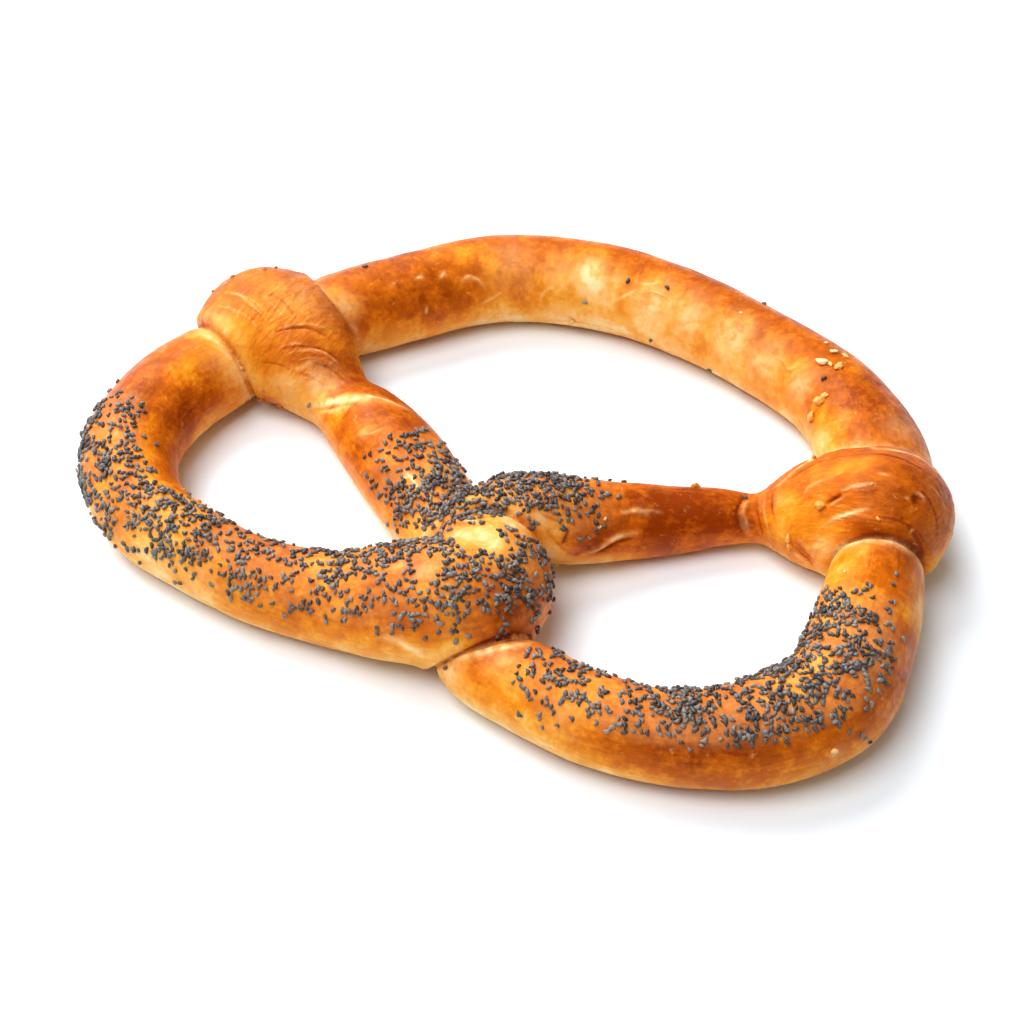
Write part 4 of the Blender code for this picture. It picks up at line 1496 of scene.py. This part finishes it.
def join_meshes(name, things, material):
    """One object from several, which are removed."""
    bm = bmesh.new()
    for thing in things:
        bm.from_mesh(thing.data)
        bpy.data.objects.remove(thing)
    mesh = bpy.data.meshes.new(name)
    bm.to_mesh(mesh)
    bm.free()
    mesh.materials.append(material)
    mesh.shade_smooth()
    return add_object(name, mesh)


def lying_on(tree, pixel, stands, draw):
    """A turned frame at the spot of the crust that a pixel shows."""
    spot, normal = on_crust(tree, pixel)
    place = Vector((spot - MIDDLE) * MM) + Vector(normal) * (stands * MM)
    upright = Vector(normal).to_track_quat("Z", "Y").to_matrix().to_4x4()
    tilt = Matrix.Rotation(draw.uniform(-SEED_TILT, SEED_TILT), 4, "X")
    spin = Matrix.Rotation(draw.uniform(0.0, 2 * math.pi), 4, "Z")
    return Matrix.Translation(place) @ upright @ spin @ tilt


def stray_seeds(tree, shapes):
    """The single seeds that have rolled off the sprinkled bands."""
    draw = random.Random(STRAY_DRAW)
    bm = bmesh.new()
    tint = bm.verts.layers.float.new("tint")
    for pixel in STRAY_SEEDS:
        first = len(bm.verts)
        bm.from_mesh(draw.choice(list(shapes.objects)).data)
        bm.verts.ensure_lookup_table()
        seed = bm.verts[first:]
        bmesh.ops.transform(bm, matrix=lying_on(tree, pixel, SEED_STANDS, draw), verts=seed)
        shade = draw.random()
        for vert in seed:
            vert[tint] = shade
    mesh = bpy.data.meshes.new("stray_seeds")
    bm.to_mesh(mesh)
    bm.free()
    return add_object("stray_seeds", mesh)


def make_crumbs(tree, material):
    """Crumbs and flakes of dough that have baked on to the crust, as one piece."""
    draw = random.Random(CRUMB_DRAW)
    bm = bmesh.new()
    brown = bm.verts.layers.float.new("brown")
    for crumb in CRUMBS:
        made = bmesh.ops.create_icosphere(bm, subdivisions=CRUMB_SPLITS, radius=1.0)["verts"]
        shift = draw.uniform(0.0, 50.0)
        shape = Vector((1.0, draw.uniform(*CRUMB_WIDTHS), crumb.flat))
        for vert in made:
            lump = noise.noise(vert.co * CRUMB_LUMPS + Vector((shift, 0.0, 0.0)))
            grain = noise.noise(vert.co * CRUMB_GRAINS + Vector((0.0, shift, 0.0)))
            rough = 1.0 + CRUMB_LUMP_HEIGHT * lump + CRUMB_GRAIN_HEIGHT * grain
            vert.co = vert.co * rough * shape * (crumb.size * MM / 2)
            vert[brown] = crumb.brown
        stands = crumb.size * crumb.flat * CRUMB_STANDS
        frame = lying_on(tree, (crumb.x, crumb.y), stands, draw)
        bmesh.ops.transform(bm, matrix=frame, verts=made)
    mesh = bpy.data.meshes.new("crumbs")
    bm.to_mesh(mesh)
    bm.free()
    mesh.materials.append(material)
    mesh.shade_smooth()
    return add_object("crumbs", mesh)


def make_seeds(dough, tree_of_crust, material):
    """All the poppy seeds as one piece: those on the crust and the few that lie on others."""
    shapes = bpy.data.collections.new("seed shapes")
    for k, bend in enumerate(SEED_BENDS):
        shapes.objects.link(seed_shape(f"seed_{k}", bend))
    tree = sprinkling_tree()
    low = (SEED_CLOSEST, SEED_COVER, SEED_STANDS, SEED_DRAW)
    high = (LOOSE_CLOSEST, LOOSE_COVER, LOOSE_STANDS, LOOSE_DRAW)
    layers = [
        sprinkle(dough, "seeds_low", "seeded", tree, shapes, material, *low),
        sprinkle(dough, "seeds_high", "piled", tree, shapes, material, *high),
        stray_seeds(tree_of_crust, shapes),
    ]
    seeds = join_meshes("poppy_seeds", layers, material)
    for shape in list(shapes.objects):
        bpy.data.objects.remove(shape)
    bpy.data.collections.remove(shapes)
    return seeds


# Finishes

SPECK_SHARE = 0.6  # strength of the mottling's specks against its blotches


def shader_group(name, inputs, outputs):
    group = bpy.data.node_groups.new(name, "ShaderNodeTree")
    for label, kind, value in inputs:
        socket = group.interface.new_socket(label, in_out="INPUT", socket_type=kind)
        if value is not None:
            socket.default_value = value
    for label, kind in outputs:
        group.interface.new_socket(label, in_out="OUTPUT", socket_type=kind)
    return group


def math_of(tree, operation, first, second):
    inputs = {0: first, 1: second}
    return node(tree, "ShaderNodeMath", inputs, operation=operation).outputs[0]


def noise_of(tree, vector, scale, detail=2.0, roughness=0.5, distortion=0.0):
    inputs = {
        "Vector": vector,
        "Scale": scale,
        "Detail": detail,
        "Roughness": roughness,
        "Distortion": distortion,
    }
    return node(tree, "ShaderNodeTexNoise", inputs).outputs["Fac"]


def mottling_group():
    """Blotches at two sizes, put out as one value around nothing."""
    group = shader_group(
        "mottling",
        [
            ("Vector", "NodeSocketVector", None),
            ("Blotches", "NodeSocketFloat", 0.25),
            ("Specks", "NodeSocketFloat", 1.2),
            ("Contrast", "NodeSocketFloat", 0.2),
        ],
        [("Value", "NodeSocketFloat")],
    )
    given = node(group, "NodeGroupInput").outputs
    large = noise_of(
        group, given["Vector"], given["Blotches"], detail=3.0, roughness=0.55, distortion=0.4
    )
    small = noise_of(group, given["Vector"], given["Specks"], detail=3.0, roughness=0.6)
    both = math_of(group, "ADD", large, math_of(group, "MULTIPLY", small, SPECK_SHARE))
    centred = math_of(group, "SUBTRACT", both, (1.0 + SPECK_SHARE) / 2)
    value = math_of(group, "MULTIPLY", centred, given["Contrast"])
    node(group, "NodeGroupOutput", {"Value": value})
    return group


def mottled_by(mottling, tree, place, blotches, specks, contrast):
    """The shared mottling, placed in a material with the material's own values."""
    values = {"Vector": place, "Blotches": blotches, "Specks": specks, "Contrast": contrast}
    return node(tree, "ShaderNodeGroup", values, node_tree=mottling).outputs["Value"]


def roughen(tree, shader, height, strength, depth):
    """Fine relief on a material, as deep as depth in mm."""
    values = {"Height": height, "Strength": strength, "Distance": depth * MM}
    bumps = node(tree, "ShaderNodeBump", values)
    tree.links.new(bumps.outputs[0], shader.inputs["Normal"])


def in_mm(tree):
    """Object coordinates in mm."""
    place = node(tree, "ShaderNodeTexCoord").outputs["Object"]
    return scaled_vector(tree, place, 1.0 / MM)


def attribute_of(tree, name, output="Fac"):
    return node(tree, "ShaderNodeAttribute", attribute_name=name).outputs[output]


def ramp_of(tree, value, stops):
    """A colour ramp through (place, colour) stops."""
    ramp = node(tree, "ShaderNodeValToRGB", {"Fac": value})
    points = ramp.color_ramp.elements
    while len(points) < len(stops):
        points.new(1.0)
    for point, (place, colour) in zip(points, stops):
        point.position = place
        point.color = (*colour, 1.0)
    return ramp.outputs["Color"]


def mix_colours(tree, share, first, second):
    made = node(tree, "ShaderNodeMix", {0: share, 6: first, 7: second}, data_type="RGBA")
    return made.outputs[2]


def range_of(tree, value, low, high, start=0.0, end=1.0):
    """Value carried from low to high over to start to end, smoothly and clamped."""
    inputs = {"Value": value, "From Min": low, "From Max": high, "To Min": start, "To Max": end}
    made = node(tree, "ShaderNodeMapRange", inputs, interpolation_type="SMOOTHSTEP")
    return made.outputs["Result"]


def new_material(name):
    material = bpy.data.materials.new(name)
    material.use_nodes = True
    tree = material.node_tree
    return material, tree, tree.nodes["Principled BSDF"]


# The crust's colours from unbaked to darkest, with their places on the baking scale
CRUST_COLOURS = [
    (0.0, (0.92, 0.63, 0.28)),
    (0.22, (0.89, 0.42, 0.062)),
    (0.45, (0.80, 0.260, 0.009)),
    (0.70, (0.58, 0.122, 0.002)),
    (1.0, (0.26, 0.032, 0.0006)),
]
TAN_DOUGH = (0.93, 0.56, 0.24)
CREAM_DOUGH = (0.96, 0.75, 0.40)
CREAM_SHARES = (0.3, 0.9)  # paleness between tan and creamy dough
BLOTCH_LIMIT = 0.07  # how much browner than its baking a blotch may be
KNOT_BLOTCHES = 0.45  # strength of the blotches on the knots
STREAK_SHADE = 0.32
FLECK_SHARE = 0.2
PALE_UNBAKED = 0.3  # how much less baked the palest dough is
KNOT_FOLDS = (0.4, 1.6)  # strength of the drawn relief away from the knots and on them


def crust_colour(tree, mottling, place, grain, knot):
    """The colour of the baking, painted light and paleness, with blotches, streaks and flecks."""
    mottled = mottled_by(mottling, tree, place, 0.2, 0.9, 0.85)
    steady = range_of(tree, knot, 0.0, 1.0, 1.0, KNOT_BLOTCHES)
    blotches = math_of(tree, "MULTIPLY", mottled, steady)
    blotches = math_of(tree, "MINIMUM", blotches, BLOTCH_LIMIT)
    streaks = noise_of(tree, grain, 1.0, distortion=0.6)
    streaks = math_of(tree, "MULTIPLY", math_of(tree, "SUBTRACT", streaks, 0.5), STREAK_SHADE)
    patchy = range_of(tree, noise_of(tree, place, 0.5), 0.3, 0.6, 0.45, 1.0)
    paleness = math_of(tree, "MULTIPLY", attribute_of(tree, "pale"), patchy)
    flecks = noise_of(tree, place, 0.5, detail=4.0, roughness=0.7, distortion=0.5)
    flecks = range_of(tree, flecks, 0.61, 0.70, 0.0, FLECK_SHARE)
    paleness = math_of(tree, "MAXIMUM", paleness, flecks)
    bake = math_of(tree, "ADD", attribute_of(tree, "bake"), blotches)
    bake = math_of(tree, "ADD", bake, streaks)
    unbaked = math_of(tree, "MULTIPLY", paleness, PALE_UNBAKED)
    bake = math_of(tree, "SUBTRACT", bake, unbaked)
    creamy = range_of(tree, paleness, *CREAM_SHARES)
    dough = mix_colours(tree, creamy, (*TAN_DOUGH, 1.0), (*CREAM_DOUGH, 1.0))
    return mix_colours(tree, paleness, ramp_of(tree, bake, CRUST_COLOURS), dough)


def crust_material(mottling):
    material, tree, shader = new_material("crust")
    place = in_mm(tree)
    grain = attribute_of(tree, "grain", "Vector")
    knot = attribute_of(tree, "knot")
    colour = crust_colour(tree, mottling, place, grain, knot)
    tree.links.new(colour, shader.inputs["Base Color"])
    fine = noise_of(tree, place, 1.3, detail=4.0, roughness=0.6)
    drawn = noise_of(tree, grain, 1.7, detail=3.0, roughness=0.6, distortion=0.8)
    folds = math_of(tree, "MULTIPLY", drawn, range_of(tree, knot, 0.0, 1.0, *KNOT_FOLDS))
    relief = math_of(tree, "ADD", math_of(tree, "MULTIPLY", fine, 0.5), folds)
    roughen(tree, shader, relief, 0.6, 0.28)
    rough = range_of(tree, noise_of(tree, place, 0.35, detail=3.0), 0.3, 0.7, 0.30, 0.54)
    tree.links.new(rough, shader.inputs["Roughness"])
    shader.inputs["Specular IOR Level"].default_value = 0.22
    shader.inputs["Specular Tint"].default_value = (1.0, 0.6, 0.25, 1.0)
    shader.inputs["Subsurface Weight"].default_value = 0.1
    shader.inputs["Subsurface Radius"].default_value = (1.0, 0.4, 0.15)
    shader.inputs["Subsurface Scale"].default_value = 0.0015
    return material


CRUMB_COLOURS = [
    (0.0, (0.93, 0.70, 0.36)),
    (0.4, (0.85, 0.38, 0.05)),
    (0.8, (0.42, 0.085, 0.005)),
]


def crumb_material(mottling):
    material, tree, shader = new_material("crumb")
    place = in_mm(tree)
    mottled = mottled_by(mottling, tree, place, 0.8, 3.0, 0.3)
    shade = math_of(tree, "ADD", attribute_of(tree, "brown"), mottled)
    tree.links.new(ramp_of(tree, shade, CRUMB_COLOURS), shader.inputs["Base Color"])
    roughen(tree, shader, noise_of(tree, place, 4.0, detail=3.0, roughness=0.6), 0.7, 0.2)
    shader.inputs["Roughness"].default_value = 0.6
    return material


SEED_COLOURS = [
    (0.0, (0.030, 0.026, 0.026)),
    (0.5, (0.100, 0.088, 0.084)),
    (1.0, (0.250, 0.216, 0.192)),
]


def seed_material(mottling):
    material, tree, shader = new_material("poppy seed")
    place = in_mm(tree)
    mottled = mottled_by(mottling, tree, place, 1.2, 6.0, 0.7)
    shade = math_of(tree, "ADD", attribute_of(tree, "tint"), mottled)
    tree.links.new(ramp_of(tree, shade, SEED_COLOURS), shader.inputs["Base Color"])
    pits = node(
        tree,
        "ShaderNodeTexVoronoi",
        {"Vector": place, "Scale": 5.0},
        feature="DISTANCE_TO_EDGE",
    ).outputs["Distance"]
    roughen(tree, shader, pits, 0.6, 0.06)
    shader.inputs["Roughness"].default_value = 0.42
    return material


def make_camera():
    forward, right, up = camera_axes()
    camera = bpy.data.cameras.new("camera")
    camera.lens = LENS
    camera.sensor_width = SENSOR
    camera.clip_start = 0.01
    thing = bpy.data.objects.new("camera", camera)
    bpy.context.scene.collection.objects.link(thing)
    place = (-forward * VIEW_DISTANCE - MIDDLE) * MM
    turn = Matrix((right, up, -forward)).transposed()
    thing.matrix_world = Matrix.Translation(place) @ turn.to_4x4()
    bpy.context.scene.camera = thing


def make_floor():
    bm = bmesh.new()
    bmesh.ops.create_grid(bm, x_segments=1, y_segments=1, size=FLOOR_HALF)
    mesh = bpy.data.meshes.new("floor")
    bm.to_mesh(mesh)
    bm.free()
    floor = add_object("floor", mesh)
    material, tree, shader = new_material("white table")
    shader.inputs["Base Color"].default_value = (*FLOOR_COLOUR, 1.0)
    shader.inputs["Roughness"].default_value = 0.9
    shader.inputs["Specular IOR Level"].default_value = 0.1
    mesh.materials.append(material)


def area_light(softbox):
    """A square light that faces the pretzel."""
    light = bpy.data.lights.new(softbox.name, "AREA")
    light.shape = "SQUARE"
    light.size = softbox.size
    light.energy = softbox.power
    thing = bpy.data.objects.new(softbox.name, light)
    bpy.context.scene.collection.objects.link(thing)
    thing.location = softbox.place
    thing.rotation_euler = (-Vector(softbox.place)).to_track_quat("-Z", "Y").to_euler()


def make_world():
    """A pale room that is brightest near the horizon and on its left side."""
    world = bpy.data.worlds.new("pale room")
    bpy.context.scene.world = world
    world.use_nodes = True
    tree = world.node_tree
    way = node(tree, "ShaderNodeTexCoord").outputs["Generated"]
    parts = node(tree, "ShaderNodeSeparateXYZ", {0: way}).outputs
    by_height = range_of(tree, parts["Z"], 0.0, HORIZON_ENDS, HORIZON, ZENITH)
    by_side = range_of(tree, parts["X"], -SIDES_APART, SIDES_APART, 1.0, DIM_SIDE)
    sky = tree.nodes["Background"]
    sky.inputs["Color"].default_value = (1.0, 1.0, 1.0, 1.0)
    tree.links.new(math_of(tree, "MULTIPLY", by_height, by_side), sky.inputs["Strength"])


def make_lights():
    make_world()
    for softbox in SOFTBOXES:
        area_light(softbox)
    bpy.context.scene.view_settings.view_transform = "Standard"


def main():
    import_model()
    rope = Rope(ROUTE)
    make_camera()
    make_floor()
    make_lights()
    mottling = mottling_group()
    dough = make_dough(rope, crust_material(mottling))
    shape_crust(dough.data, rope)
    tree = skin_tree(dough.data)
    seeds = make_seeds(dough, tree, seed_material(mottling))
    crumbs = make_crumbs(tree, crumb_material(mottling))
    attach(dough, "root")
    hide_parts("pretzel")
    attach(seeds, "root")
    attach(crumbs, "root")


main()
